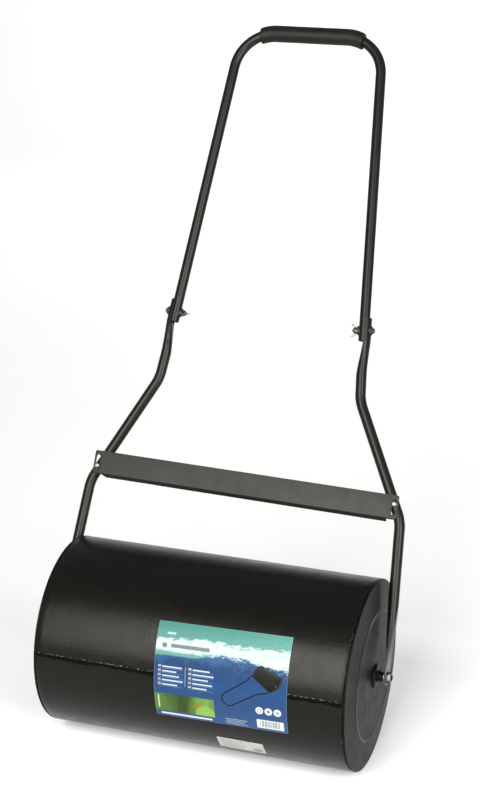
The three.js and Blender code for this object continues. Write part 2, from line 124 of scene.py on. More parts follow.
def temp(m, name="tmp"):
    me = bpy.data.meshes.new(name)
    me.from_pydata((m.v * MM).tolist(), [], m.f)
    me.update()
    bm = bmesh.new(); bm.from_mesh(me)
    bmesh.ops.recalc_face_normals(bm, faces=bm.faces)
    bm.to_mesh(me); bm.free()
    ob = bpy.data.objects.new(name, me)
    bpy.context.scene.collection.objects.link(ob)
    return ob


def apply_all(ob):
    dg = bpy.context.evaluated_depsgraph_get()
    new = bpy.data.meshes.new_from_object(ob.evaluated_get(dg), depsgraph=dg)
    ob.modifiers.clear()
    old = ob.data
    ob.data = new
    bpy.data.meshes.remove(old)


def boolean(m, ops, extra=None):
    """m with the (operation, M) pairs applied by the exact solver, then extra(object) for more modifiers."""
    ob = temp(m)
    cutters = []
    for kind, c in ops:
        co = temp(c, "cut")
        cutters.append(co)
        mod = ob.modifiers.new("b", "BOOLEAN")
        mod.operation, mod.object, mod.solver = kind, co, "EXACT"
    if extra:
        extra(ob)
    apply_all(ob)
    me = ob.data
    co = np.zeros(len(me.vertices) * 3); me.vertices.foreach_get("co", co)
    out = M(co.reshape(-1, 3) / MM, [tuple(p.vertices) for p in me.polygons])
    for o in [ob] + cutters:
        d = o.data
        bpy.data.objects.remove(o)
        bpy.data.meshes.remove(d)
    return out


def loop(pts, radii=None, n=5, closed=True):
    """A 2D outline with its corners rounded. radii is one number or one per point."""
    P = [np.array(p, float) for p in pts]
    k = len(P)
    rr = radii if isinstance(radii, (list, tuple)) else [radii or 0] * k
    out = []
    for i in range(k):
        p, r = P[i], rr[i]
        if (not closed and i in (0, k - 1)) or r <= 0:
            out.append(p); continue
        a, b = P[i - 1], P[(i + 1) % k]
        u, w = (a - p), (b - p)
        lu, lw = np.linalg.norm(u), np.linalg.norm(w)
        u, w = u / lu, w / lw
        ang = math.acos(max(-1, min(1, float(u @ w))))
        if ang > math.pi - 1e-3:
            out.append(p); continue
        d = min(r / math.tan(ang / 2), 0.48 * lu, 0.48 * lw)
        r = d * math.tan(ang / 2)
        c = p + (u + w) / np.linalg.norm(u + w) * (r / math.sin(ang / 2))
        s, e = p + u * d - c, p + w * d - c
        tot = math.acos(max(-1, min(1, float(s @ e) / (r * r))))
        for j in range(n + 1):
            t = j / n
            q = (math.sin((1 - t) * tot) * s + math.sin(t * tot) * e) / math.sin(tot)
            out.append(c + q)
    return np.array(out)


def revolve(outline, n=96, f=None):
    """A ring about X from a closed outline of (x, r); r 0 at both ends is not used."""
    o = np.asarray(outline, float); k = len(o)
    th = np.arange(n) * 2 * math.pi / n
    v = np.stack([np.repeat(o[:, 0], n).reshape(k, n), np.outer(o[:, 1], np.cos(th)), np.outer(o[:, 1], np.sin(th))], 2)
    if f:
        v = f(v, th)
    idx = np.arange(k * n).reshape(k, n)
    fs = []
    for i in range(k):
        a, b = idx[i], idx[(i + 1) % k]
        fs += list(zip(a, b, np.roll(b, -1), np.roll(a, -1)))
    return M(v.reshape(-1, 3), fs)


def spin(outline, n=48):
    """A closed round part about X from an open outline of (x, r) that starts and ends on the axis."""
    o = np.asarray(outline, float)
    body = o[1:-1]; k = len(body)
    th = np.arange(n) * 2 * math.pi / n
    v = np.stack([np.repeat(body[:, 0], n).reshape(k, n), np.outer(body[:, 1], np.cos(th)), np.outer(body[:, 1], np.sin(th))], 2).reshape(-1, 3)
    idx = np.arange(k * n).reshape(k, n)
    fs = []
    for i in range(k - 1):
        a, b = idx[i], idx[i + 1]
        fs += list(zip(a, b, np.roll(b, -1), np.roll(a, -1)))
    v = np.vstack([v, [[o[0, 0], 0, 0], [o[-1, 0], 0, 0]]])
    c0, c1 = k * n, k * n + 1
    fs += [(c0, idx[0][j], idx[0][(j + 1) % n]) for j in range(n)]
    fs += [(c1, idx[-1][(j + 1) % n], idx[-1][j]) for j in range(n)]
    return M(v, fs)


def rings(stack, closed_line=False, cap=True):
    """A skin through sections: stack is (stations, points, 3), each section closed."""
    s = np.asarray(stack, float); k, n = s.shape[:2]
    idx = np.arange(k * n).reshape(k, n)
    fs = []
    for i in range(k if closed_line else k - 1):
        a, b = idx[i], idx[(i + 1) % k]
        fs += list(zip(a, b, np.roll(b, -1), np.roll(a, -1)))
    v = s.reshape(-1, 3)
    if cap and not closed_line:
        fs += [tuple(idx[0][::-1]), tuple(idx[-1])]
    return M(v, fs)


def tube_of(outer, inner):
    """A hollow tube from two skins with the same stations and section points, closed over at both ends."""
    s = np.concatenate([outer, inner[::-1]], 0)
    return rings(s, closed_line=True)


def cyl(axis, a, b, r, n=32, ch=0.0):
    pts = [(a, 0), (a, r - ch), (a + ch, r), (b - ch, r), (b, r - ch), (b, 0)] if ch else [(a, 0), (a, r), (b, r), (b, 0)]
    m = spin(pts, n)
    if axis == "y":
        m = m.at(rot("Z", math.pi / 2))
    if axis == "z":
        m = m.at(rot("Y", -math.pi / 2))
    return m


def box_m(lo, hi):
    x0, y0, z0 = lo; x1, y1, z1 = hi
    v = [(x0, y0, z0), (x1, y0, z0), (x1, y1, z0), (x0, y1, z0), (x0, y0, z1), (x1, y0, z1), (x1, y1, z1), (x0, y1, z1)]
    f = [(0, 3, 2, 1), (4, 5, 6, 7), (0, 1, 5, 4), (1, 2, 6, 5), (2, 3, 7, 6), (3, 0, 4, 7)]
    return M(v, f)


def smooth(t):
    c = min(1.0, max(0.0, t)); return c * c * (3 - 2 * c)


def rnd(p, scale, seed=0.0):
    """Smooth noise from -1 to 1 at a point in mm."""
    return noise.noise(Vector((p[0] / scale + seed, p[1] / scale - seed * 1.7, p[2] / scale + seed * 0.6)))


# ------------------------------------------------------------------ materials
def new_mat(name):
    m = bpy.data.materials.new(name)
    m.use_nodes = True
    return m, m.node_tree.nodes, m.node_tree.links, m.node_tree.nodes["Principled BSDF"]


class G:
    """Short names for shader nodes."""
    def __init__(self, mat):
        self.t = mat.node_tree
        self.n, self.l = self.t.nodes, self.t.links

    def node(self, kind, **kw):
        x = self.n.new(kind)
        for k, v in kw.items():
            setattr(x, k, v)
        return x

    def put(self, sock, val):
        if hasattr(val, "is_output") or isinstance(val, bpy.types.NodeSocket):
            self.l.new(val, sock)
        else:
            sock.default_value = val

    def coord(self):
        return self.node("ShaderNodeTexCoord").outputs["Object"]

    def mapping(self, src, scale=(1, 1, 1), loc=(0, 0, 0), rotv=(0, 0, 0)):
        x = self.node("ShaderNodeMapping")
        self.put(x.inputs["Vector"], src)
        x.inputs["Scale"].default_value, x.inputs["Location"].default_value, x.inputs["Rotation"].default_value = scale, loc, rotv
        return x.outputs[0]

    def noise(self, src, scale, detail=4.0, rough=0.55, dist=0.0):
        x = self.node("ShaderNodeTexNoise")
        self.put(x.inputs["Vector"], src)
        x.inputs["Scale"].default_value, x.inputs["Detail"].default_value = scale, detail
        x.inputs["Roughness"].default_value, x.inputs["Distortion"].default_value = rough, dist
        return x.outputs["Fac"]

    def voronoi(self, src, scale, feature="F1"):
        x = self.node("ShaderNodeTexVoronoi", feature=feature)
        self.put(x.inputs["Vector"], src)
        x.inputs["Scale"].default_value = scale
        return x.outputs["Distance"]

    def ramp(self, src, stops, interp="LINEAR"):
        x = self.node("ShaderNodeValToRGB")
        x.color_ramp.interpolation = interp
        e = x.color_ramp.elements
        while len(e) > 1:
            e.remove(e[0])
        e[0].position = stops[0][0]; e[0].color = self.rgba(stops[0][1])
        for p, c in stops[1:]:
            q = e.new(p); q.color = self.rgba(c)
        self.put(x.inputs["Fac"], src)
        return x.outputs["Color"]

    @staticmethod
    def rgba(c):
        return (c, c, c, 1) if isinstance(c, (int, float)) else (*c[:3], 1)

    def math(self, op, a, b=0.0, c=None, clamp=False):
        x = self.node("ShaderNodeMath", operation=op, use_clamp=clamp)
        self.put(x.inputs[0], a); self.put(x.inputs[1], b)
        if c is not None:
            self.put(x.inputs[2], c)
        return x.outputs[0]

    def range(self, src, a, b, c, d):
        x = self.node("ShaderNodeMapRange")
        self.put(x.inputs["Value"], src)
        for k, v in (("From Min", a), ("From Max", b), ("To Min", c), ("To Max", d)):
            x.inputs[k].default_value = v
        return x.outputs["Result"]

    def mix(self, fac, a, b, mode="MIX"):
        x = self.node("ShaderNodeMix", data_type="RGBA", blend_type=mode)
        self.put(x.inputs["Factor"], fac)
        for k, v in ((6, a), (7, b)):
            self.put(x.inputs[k], self.rgba(v) if not isinstance(v, bpy.types.NodeSocket) else v)
        return x.outputs[2]

    def bump(self, height, strength, dist, normal=None):
        x = self.node("ShaderNodeBump")
        self.put(x.inputs["Height"], height)
        x.inputs["Strength"].default_value, x.inputs["Distance"].default_value = strength, dist
        if normal is not None:
            self.put(x.inputs["Normal"], normal)
        return x.outputs["Normal"]

    def xyz(self, src):
        x = self.node("ShaderNodeSeparateXYZ")
        self.put(x.inputs[0], src)
        return x.outputs

    def edges(self, radius):
        """About 1 on convex edges, 0 elsewhere."""
        g = self.node("ShaderNodeNewGeometry").outputs["Pointiness"]
        return self.ramp(g, [(0.52, 0.0), (0.60, 1.0)])


WARM = (1.0, 0.985, 0.90, 1.0)


def paint_mat(name, base=0.0085, rough=0.34, spec=0.28, orange=0.25, dust=0.5, chips=0.0, streak=0.0, seam=False, ior=1.18, ring=False, under=False, mid=0.12, eye=False):
    """Black sprayed steel: fine orange peel, cloudy gloss, a little dust, and small scuffs."""
    m, _, _, b = new_mat(name)
    g = G(m)
    co = g.coord()
    cloud = g.noise(co, 7.0, 5, 0.6)
    fine = g.noise(co, 420.0, 2, 0.5)
    peel = g.noise(co, 900.0, 2, 0.45)
    patch = g.noise(co, 36.0, 6, 0.62, 0.4)
    col = g.mix(g.range(cloud, 0.3, 0.7, 0, 1), (base * 0.86, base * 0.84, base * 0.72), (base * 1.3, base * 1.24, base * 1.05))
    scuffs = g.ramp(g.noise(g.mapping(co, (22, 260, 260)), 3.0, 7, 0.72, 0.6), [(0.62, 0.0), (0.72, 1.0)])
    specks = g.ramp(g.voronoi(co, 240.0), [(0.045, 1.0), (0.085, 0.0)])
    specks = g.math("MULTIPLY", specks, g.ramp(patch, [(0.52, 0.0), (0.66, 1.0)]))
    mark = g.math("MULTIPLY", g.math("ADD", g.math("MULTIPLY", scuffs, 0.35), g.math("MULTIPLY", specks, 0.5)), dust, clamp=True)
    col = g.mix(mark, col, (0.075, 0.072, 0.064))
    if chips:
        chip = g.math("MULTIPLY", g.edges(1), g.ramp(g.noise(co, 160.0, 6, 0.7), [(0.55, 0.0), (0.60, 1.0)]))
        col = g.mix(g.math("MULTIPLY", chip, chips, clamp=True), col, (0.16, 0.155, 0.145))
    if seam:
        # painted shade: a near-black strip of paint just under the lap edge, where the step shades it, also made
        # rougher
        o = g.xyz(co)
        deg = g.math("MULTIPLY", g.math("ARCTAN2", g.math("SUBTRACT", o[2], 0.16), g.math("MULTIPLY", o[1], -1.0)), 180 / math.pi)
        wob = g.noise(g.mapping(co, (38, 120, 120)), 1.0, 5, 0.7, 0.5)
        low = g.math("SUBTRACT", 10.0, g.range(wob, 0.3, 0.7, 1.2, 4.4))
        strip = g.math("MULTIPLY", g.range(deg, 10.3, 10.0, 0, 1), g.math("MULTIPLY", g.math("SUBTRACT", deg, low), 3.0, clamp=True), clamp=True)
        col = g.mix(strip, col, (0.0012, 0.0012, 0.0010))
        mark = g.math("ADD", mark, g.math("MULTIPLY", strip, 1.6))
    if ring:
        # painted highlight: a pale line along the pressed ridge, brightest on its upper front side
        o = g.xyz(co)
        dz = g.math("SUBTRACT", o[2], 0.16)
        rad = g.math("SQRT", g.math("ADD", g.math("MULTIPLY", dz, dz), g.math("MULTIPLY", o[1], o[1])))
        ridge_highlight = g.math("ABSOLUTE", g.math("SUBTRACT", rad, 0.1084))
        ridge_highlight = g.math("MULTIPLY", g.range(ridge_highlight, 0.0006, 0.0021, 1, 0), g.range(g.noise(g.mapping(co, (9, 9, 9)), 1.0, 5, 0.6), 0.36, 0.62, 0.12, 1.0))
        ridge_highlight = g.math("MULTIPLY", ridge_highlight, g.range(g.math("SUBTRACT", dz, o[1]), -0.10, 0.10, 0.45, 1.0))
        col = g.mix(g.math("MULTIPLY", ridge_highlight, 0.9, clamp=True), col, (0.115, 0.110, 0.098))
    if under:
        # painted shade: the fold's downward-facing faces are coloured near-black, and made rougher
        nn = g.xyz(g.node("ShaderNodeNewGeometry").outputs["Normal"])
        underside_shade = g.math("ADD", g.math("MULTIPLY", nn[1], -0.60), g.math("MULTIPLY", nn[2], -0.80))
        underside_shade = g.range(underside_shade, 0.70, 0.92, 0, 1)
        col = g.mix(g.math("MULTIPLY", underside_shade, 0.75), col, (0.002, 0.002, 0.0017))
        mark = g.math("ADD", mark, g.math("MULTIPLY", underside_shade, 1.6))
    if eye:
        # painted highlight: the pressed ends of the arms are coloured pale round the axle
        o = g.xyz(co)
        dz = g.math("SUBTRACT", o[2], 0.16)
        away = g.math("SQRT", g.math("ADD", g.math("MULTIPLY", dz, dz), g.math("MULTIPLY", o[1], o[1])))
        eye_highlight = g.math("MULTIPLY", g.range(away, 0.022, 0.050, 1, 0), g.range(g.noise(g.mapping(co, (60, 60, 25)), 1.0, 6, 0.65), 0.34, 0.60, 0.35, 1.0))
        col = g.mix(g.math("MULTIPLY", eye_highlight, 0.8), col, (0.105, 0.102, 0.092))
    g.put(b.inputs["Base Color"], col)
    r = g.math("ADD", g.range(patch, 0.25, 0.75, rough - 0.05, rough + 0.07), g.math("MULTIPLY", mark, 0.30))
    r = g.math("ADD", r, g.range(fine, 0.3, 0.7, -0.02, 0.02), clamp=True)
    g.put(b.inputs["Roughness"], r)
    b.inputs["IOR"].default_value = ior
    b.inputs["Specular IOR Level"].default_value = spec
    b.inputs["Specular Tint"].default_value = WARM
    n1 = g.bump(peel, orange, 0.00012)
    n1 = g.bump(patch, 0.14, 0.0006, n1)
    n1 = g.bump(g.noise(g.mapping(co, (110, 170, 170)), 1.0, 4, 0.6, 0.4), mid, 0.0005, n1)
    if streak:
        n1 = g.bump(g.noise(g.mapping(co, (3, 90, 90)), 2.0, 5, 0.6), streak, 0.0006, n1)
    g.put(b.inputs["Normal"], n1)
    return m


def weld_mat():
    """Painted weld along the lap: burnt dull black, pitted, with painted highlight specks along its upper edge."""
    m, _, _, b = new_mat("bead_paint")
    g = G(m)
    co = g.coord()
    cloud = g.noise(co, 120.0, 6, 0.65, 0.5)
    pits = g.voronoi(g.mapping(co, (1, 1.3, 1.3)), 520.0)
    col = g.mix(g.range(cloud, 0.3, 0.7, 0, 1), (0.0010, 0.0010, 0.0009), (0.0032, 0.0031, 0.0026))
    o = g.xyz(co)
    deg = g.math("MULTIPLY", g.math("ARCTAN2", g.math("SUBTRACT", o[2], 0.16), g.math("MULTIPLY", o[1], -1.0)), 180 / math.pi)
    # painted highlight: pale specks only along the bead's upper edge
    high = g.range(deg, 9.35, 9.8, 0, 1)
    glint_specks = g.math("MULTIPLY", g.ramp(g.noise(g.mapping(co, (430, 380, 380)), 1.0, 3, 0.6), [(0.54, 0.0), (0.61, 1.0)]), high)
    col = g.mix(g.math("MULTIPLY", glint_specks, 0.9), col, (0.16, 0.155, 0.14))
    g.put(b.inputs["Base Color"], col)
    g.put(b.inputs["Roughness"], g.range(cloud, 0.3, 0.7, 0.34, 0.62))
    b.inputs["IOR"].default_value = 1.10
    b.inputs["Specular IOR Level"].default_value = 0.45
    n = g.bump(pits, 0.8, 0.0006)
    g.put(b.inputs["Normal"], g.bump(cloud, 0.5, 0.0008, n))
    return m


def zinc_mat(name="zinc_plate", dark=1.0):
    m, _, _, b = new_mat(name)
    g = G(m)
    co = g.coord()
    spang = g.voronoi(co, 620.0)
    cloud = g.noise(co, 130.0, 5, 0.6)
    col = g.mix(g.range(cloud, 0.3, 0.7, 0, 1), (0.26 * dark, 0.26 * dark, 0.245 * dark), (0.44 * dark, 0.44 * dark, 0.415 * dark))
    tarnish = g.ramp(g.noise(co, 300.0, 6, 0.7), [(0.56, 0.0), (0.72, 1.0)])
    col = g.mix(g.math("MULTIPLY", tarnish, 0.6), col, (0.10 * dark, 0.095 * dark, 0.08 * dark))
    g.put(b.inputs["Base Color"], col)
    b.inputs["Metallic"].default_value = 1.0
    g.put(b.inputs["Roughness"], g.math("ADD", g.range(cloud, 0.3, 0.7, 0.30, 0.46), g.math("MULTIPLY", tarnish, 0.2)))
    n = g.bump(spang, 0.12, 0.0002)
    n = g.bump(g.noise(g.mapping(co, (900, 60, 60)), 2.0, 4, 0.6), 0.10, 0.0001, n)
    g.put(b.inputs["Normal"], n)
    return m


def foam_mat():
    """Closed-cell foam tube: matt, with fine open pores at the skin and faint handling shine."""
    m, _, _, b = new_mat("grip_foam")
    g = G(m)
    co = g.coord()
    cells = g.voronoi(co, 1500.0)
    pores = g.ramp(g.voronoi(g.mapping(co, (1, 1, 1), (0.3, 0.7, 0.1)), 900.0), [(0.10, 1.0), (0.30, 0.0)])
    pores = g.math("MULTIPLY", pores, g.ramp(g.noise(co, 260.0, 3), [(0.42, 0.0), (0.58, 1.0)]))
    cloud = g.noise(co, 55.0, 5, 0.6)
    col = g.mix(g.range(cloud, 0.3, 0.7, 0, 1), (0.0030, 0.0029, 0.0025), (0.0072, 0.0070, 0.0060))
    # painted shade: the pores are coloured darker than the foam skin
    col = g.mix(g.math("MULTIPLY", pores, 0.7), col, (0.003, 0.003, 0.0025))
    lint = g.ramp(g.noise(g.mapping(co, (120, 700, 700)), 1.0, 6, 0.75), [(0.66, 0.0), (0.74, 1.0)])
    col = g.mix(g.math("MULTIPLY", lint, 0.35), col, (0.09, 0.088, 0.08))
    g.put(b.inputs["Base Color"], col)
    g.put(b.inputs["Roughness"], g.range(cloud, 0.3, 0.7, 0.42, 0.58))
    b.inputs["IOR"].default_value = 1.3
    b.inputs["Specular IOR Level"].default_value = 0.5
    b.inputs["Specular Tint"].default_value = WARM
    n = g.bump(cells, 0.35, 0.00035)
    n = g.bump(pores, -0.5, 0.0004, n)
    g.put(b.inputs["Normal"], n)
    return m


def plastic_mat(name, base, rough):
    m, _, _, b = new_mat(name)
    g = G(m)
    co = g.coord()
    cloud = g.noise(co, 90.0, 5, 0.6)
    col = g.mix(g.range(cloud, 0.3, 0.7, 0, 1), tuple(x * 0.8 for x in base), tuple(x * 1.4 for x in base))
    g.put(b.inputs["Base Color"], col)
    g.put(b.inputs["Roughness"], g.range(cloud, 0.3, 0.7, rough - 0.06, rough + 0.08))
    b.inputs["Specular IOR Level"].default_value = 0.4
    g.put(b.inputs["Normal"], g.bump(g.noise(co, 1400.0, 3, 0.5), 0.25, 0.0002))
    return m


drum_paint = paint_mat("drum_paint", 0.0026, 0.30, 1.0, 0.60, 0.9, 0.5, 0.05, seam=True, mid=0.42, ior=1.172)
cap_paint = paint_mat("cap_paint", 0.0038, 0.40, 0.95, 0.40, 0.8, 0.0, ior=1.105, ring=True)
bead_paint = weld_mat()
tube_paint = paint_mat("tube_paint", 0.0040, 0.32, 1.0, 0.35, 0.5, 0.0, ior=1.21, eye=True)
bar_paint = paint_mat("bar_paint", 0.0095, 0.42, 1.0, 1.0, 1.3, 0.8, ior=1.21, under=True, mid=0.35)
axle_paint = paint_mat("axle_paint", 0.0028, 0.40, 0.9, 0.3, 0.6, 0.0, ior=1.16)
zinc = zinc_mat()
# painted shade: the three copies below are the same zinc with a darker colour, standing in for shade on the parts that
# use them
zinc_dark = zinc_mat("zinc_pin", 0.16)
zinc_shaded = zinc_mat("zinc_shaded", 0.42)
zinc_mid = zinc_mat("zinc_mid", 0.66)
foam = foam_mat()
black_plastic = plastic_mat("black_plastic", (0.011, 0.011, 0.010), 0.5)
rubber = plastic_mat("seal_rubber", (0.010, 0.010, 0.010), 0.7)

# ------------------------------------------------------------------ drum
SEAM = math.radians(10.0)       # lap seam, angle up from the drum's front
def shell_f(v, th):
    """Lap step at the seam, and a faint waviness of rolled sheet."""
    out = v.copy()
    r = np.hypot(v[..., 1], v[..., 2])
    front = (math.pi - th)      # angle up from the front (-Y)
    front = (front + math.pi) % (2 * math.pi) - math.pi
    below = (SEAM - front) % (2 * math.pi)
    step = np.where(below < math.radians(26), 0.9 * (1 - below / math.radians(26)) ** 2, 0.0)
    outer = (r > 159)
    for i in range(v.shape[0]):
        for j in range(v.shape[1]):
            if outer[i, j]:
                p = v[i, j]
                w = 0.16 * rnd(p, 95, 3.0) + 0.09 * rnd(p, 38, 9.0)
                w += 0.10 * rnd((p[0], 0, 0), 30, 5.0) * math.exp(-(below[j] / 0.16) ** 2)
                k = (r[i, j] - step[j] - 0.22 + w) / r[i, j]
                out[i, j, 1] *= k; out[i, j, 2] *= k
    return out

xs = np.linspace(-SHELL_HALF + 0.9, SHELL_HALF - 0.9, 58)
R0 = DRUM_R + 0.02
shell_outline = [(-SHELL_HALF, 158.55), (-SHELL_HALF, R0 - 0.8), (-SHELL_HALF + 0.3, R0 - 0.25)] + [(x, R0) for x in xs] + \
    [(SHELL_HALF - 0.3, R0 - 0.25), (SHELL_HALF, R0 - 0.8), (SHELL_HALF, 158.55)]
def seam_angles(n):
    """Even angles with a closely spaced pair at the seam, so that the step is sharp."""
    th = np.arange(n) * 2 * math.pi / n
    s = (math.pi - SEAM) % (2 * math.pi)
    th = np.array([t for t in th if abs(t - s) > 0.004] + [s - 0.0002, s + 0.0012])
    return np.sort(th)

def revolve_th(outline, th, f=None):
    o = np.asarray(outline, float); k, n = len(o), len(th)
    v = np.stack([np.repeat(o[:, 0], n).reshape(k, n), np.outer(o[:, 1], np.cos(th)), np.outer(o[:, 1], np.sin(th))], 2)
    if f:
        v = f(v, th)
    idx = np.arange(k * n).reshape(k, n)
    fs = []
    for i in range(k):
        a, b = idx[i], idx[(i + 1) % k]
        fs += list(zip(a, b, np.roll(b, -1), np.roll(a, -1)))
    return M(v.reshape(-1, 3), fs)

shell = revolve_th(shell_outline, seam_angles(288), shell_f)
link("roller_shell", shell.at(DRUM), drum_paint, "drum", "drum_shell", angle=24, slot="drum_paint")

# weld bead in the corner of the lap
def weld_bead():
    """Fillet weld that fills the corner of the lap and fades out over the lower sheet."""
    n = 1000
    stack = []
    for i in range(n):
        x = -SHELL_HALF + 1.2 + (2 * SHELL_HALF - 2.4) * i / (n - 1)
        under = smooth((x + 59) / 4) * (1 - smooth((x - 175) / 4))
        ripple = abs(math.sin(x * math.pi / 3.1 + 0.9 * rnd((x, 0, 0), 9, 2.0)))
        lump = 0.12 + 0.30 * ripple + 0.45 * max(0, rnd((x, 4, 0), 13, 1.0)) + 1.5 * max(0, rnd((x, 9, 0), 2.1, 7.0)) ** 1.3
        lump *= 1 - 0.96 * under
        low = 8.6 + 2.8 * rnd((x, 2, 0), 18, 4.0) + 1.6 * rnd((x, 3, 0), 4.5, 11.0)
        top = 0.5 + 0.9 * rnd((x, 7, 0), 3.4, 5.0) * (1 - under)
        prof_ = [(top, 159.75), (top - 0.25, 160.0 + 0.12 * lump), (top - 0.8, 160.02 + 0.55 * lump), (-0.9, 160.0 + 0.85 * lump), (-1.7, 159.85 + 0.75 * lump),
                 (-2.6, 159.62 + 0.42 * lump), (-0.55 * low, 159.42 + 0.16 * lump), (-0.75 * low, 159.30), (-low, 159.0), (-low + 0.4, 158.6), (-0.5, 158.6), (top, 158.9)]
        row = []
        for k, (arc, rr) in enumerate(prof_):
            if 2 <= k <= 7:
                rr += (0.28 * rnd((x, arc * 1.3, 0), 1.7, 3.0) + 0.12 * rnd((x, arc, 5), 0.9, 6.0)) * (1 - 0.95 * under)
            t = SEAM + arc / DRUM_R
            row.append((x, -rr * math.cos(t), rr * math.sin(t)))
        stack.append(row)
    return rings(stack)
link("shell_weld_bead", weld_bead().at(DRUM), bead_paint, "drum", angle=50, slot="drum_paint")

# ---- end caps
def cap_outline():
    top = [(250, 157.9), (264.9, 157.9), (265.3, 159.0), (266.2, 159.85), (268.85, 159.85), (268.85, 156.0), (273.05, CAP_RING + 3.4), (274.5, CAP_RING + 0.9), (274.4, CAP_RING - 1.2), (273.95, CAP_RING - 5.0), (CAP_X, 60.0), (CAP_X, 8.4)]
    rt = [0.3, 0.1, 0.6, 0.8, 3.4, 3.0, 3.0, 1.0, 1.4, 6.0, 80.0, 0.3]
    a = loop(top, rt, 7, closed=False)
    low = [(CAP_X - 1.5, 8.4), (CAP_X - 1.5, 60.0), (272.4, CAP_RING - 5.0), (272.6, CAP_RING + 0.5), (271.5, CAP_RING + 5.5), (267.2, 154.8), (266.2, 156.4), (250, 156.4)]
    b = loop(low, [0.3, 60, 8, 2, 6, 2, 1.2, 0.3], 5, closed=False)
    return np.vstack([a, b])
CAP_RING = 107.5

def cap_f(v, th):
    out = v.copy()
    for i in range(v.shape[0]):
        for j in range(v.shape[1]):
            p = v[i, j]
            r = math.hypot(p[1], p[2])
            if r < 150 and p[0] > 271:
                out[i, j, 0] += 0.22 * rnd((p[1], p[2], 0), 60, 2.2) * min(1, (150 - r) / 25) * min(1, max(0, (r - 24)) / 30)
    return out

cap = revolve(cap_outline(), 240, cap_f)
link("cap_right_face", cap.at(DRUM), cap_paint, "drum", "right_end_cap", angle=28, slot="drum_paint")
fy, fz = FILL_R * math.cos(FILL_A), FILL_R * math.sin(FILL_A)
lcap = boolean(cap.at(MIRROR), [("DIFFERENCE", cyl("x", -300, -255, 14.3, 48).at(shift(0, fy, fz)))])
link("cap_left_face", lcap.at(DRUM), cap_paint, "drum", "left_end_cap", angle=28, slot="drum_paint")

def hub_flange():
    o = loop([(CAP_X + 0.25, 8.35), (CAP_X + 0.25, 19.5), (CAP_X + 3.4, 19.2), (CAP_X + 4.2, 17.6), (CAP_X + 4.2, 11.6), (CAP_X + 4.2, 8.35)], [0.2, 0.2, 1.2, 1.4, 0.4, 0.4], 5)
    return revolve(o, 96)

def ring_weld(x, r, h, seed, n=220, lumps=0.5):
    """An uneven fillet bead round the axle."""
    stack = []
    for i in range(n):
        t = 2 * math.pi * i / n
        p = (math.cos(t) * r, math.sin(t) * r, seed * 7)
        big = 0.62 + 0.3 * abs(math.sin(i * math.pi * 26 / n + rnd(p, 9, seed))) + lumps * rnd(p, 5, seed + 3)
        row = [(x + h * (0.9 * big) * math.cos(a) * 0.8 + 0.2, (r + h * big * math.sin(a)) * math.cos(t), (r + h * big * math.sin(a)) * math.sin(t)) for a in [2 * math.pi * j / 8 for j in range(8)]]
        stack.append(row)
    return rings(stack, closed_line=True)

hub = hub_flange()
for side, name, mir in ((1, "right", np.eye(4)), (-1, "left", MIRROR)):
    link(f"hub_{name}", hub.at(mir).at(DRUM), axle_paint, "drum", f"{name}_hub_flange", angle=35, slot="drum_paint")
    link(f"hub_weld_{name}", (ring_weld(CAP_X + 0.6, 19.6, 1.5, 2.0 + side) + ring_weld(CAP_X + 4.4, 8.9, 1.7, 5.0 + side, 140)).at(mir).at(DRUM), axle_paint, "drum", angle=60, slot="drum_paint")

# ---- axle with its threaded ends
def axle_outline():
    right = [(283.0, 8.0), (289.6, 8.0), (290.6, 7.2), (290.6, 4.55)]
    x = 291.2
    while x < 302.6:
        right += [(x, 4.5), (x + 0.45, 4.98), (x + 0.75, 4.98), (x + 1.2, 4.5)]
        x += 1.25
    right += [(x + 0.2, 4.45), (304.1, 4.3), (304.5, 3.6), (304.5, 0)]
    left = [(-a, b) for a, b in reversed(right)]
    return left + right
pin_holes = [("DIFFERENCE", cyl("z", -12, 12, 1.75, 20).at(rot("X", math.radians(10))).at(shift(x, 0, 0))) for x in (-284.6, 284.6)]
link("axle_bar", boolean(spin(axle_outline(), 48), pin_holes).at(DRUM), axle_paint, "drum", "axle", angle=35, slot="drum_paint")

def washer(x0, x1, r, bore, n=64):
    return revolve(loop([(x0, bore), (x1, bore), (x1, r), (x0, r)], [0.15, 0.25, 0.45, 0.3], 4), n)

def hexnut(x0, x1, flats, bore):
    R = flats / 2 / math.cos(math.pi / 6)
    body = cyl("x", x0, x1, R, 6)
    c = flats / 2
    mid = spin([(x0 - 0.02, 0), (x0 - 0.02, c * 0.97), (x0 + (R - c) * 0.75, R + 0.05), (x1 - (R - c) * 0.75, R + 0.05), (x1 + 0.02, c * 0.97), (x1 + 0.02, 0)], 64)
    hole = [(x0 - 1, 0), (x0 - 1, bore + 0.9), (x0 + 0.35, bore + 0.15)]
    x = x0 + 0.5
    while x < x1 - 0.9:
        hole += [(x, bore + 0.05), (x + 0.4, bore + 0.42), (x + 0.8, bore + 0.05)]
        x += 1.0
    hole += [(x1 - 0.35, bore + 0.15), (x1 + 1, bore + 0.9), (x1 + 1, 0)]
    def soften(ob):
        b = ob.modifiers.new("s", "BEVEL"); b.width = 0.00012; b.segments = 2; b.limit_method = "ANGLE"; b.angle_limit = math.radians(35)
    return boolean(body, [("INTERSECT", mid), ("DIFFERENCE", spin(hole, 32))], soften)

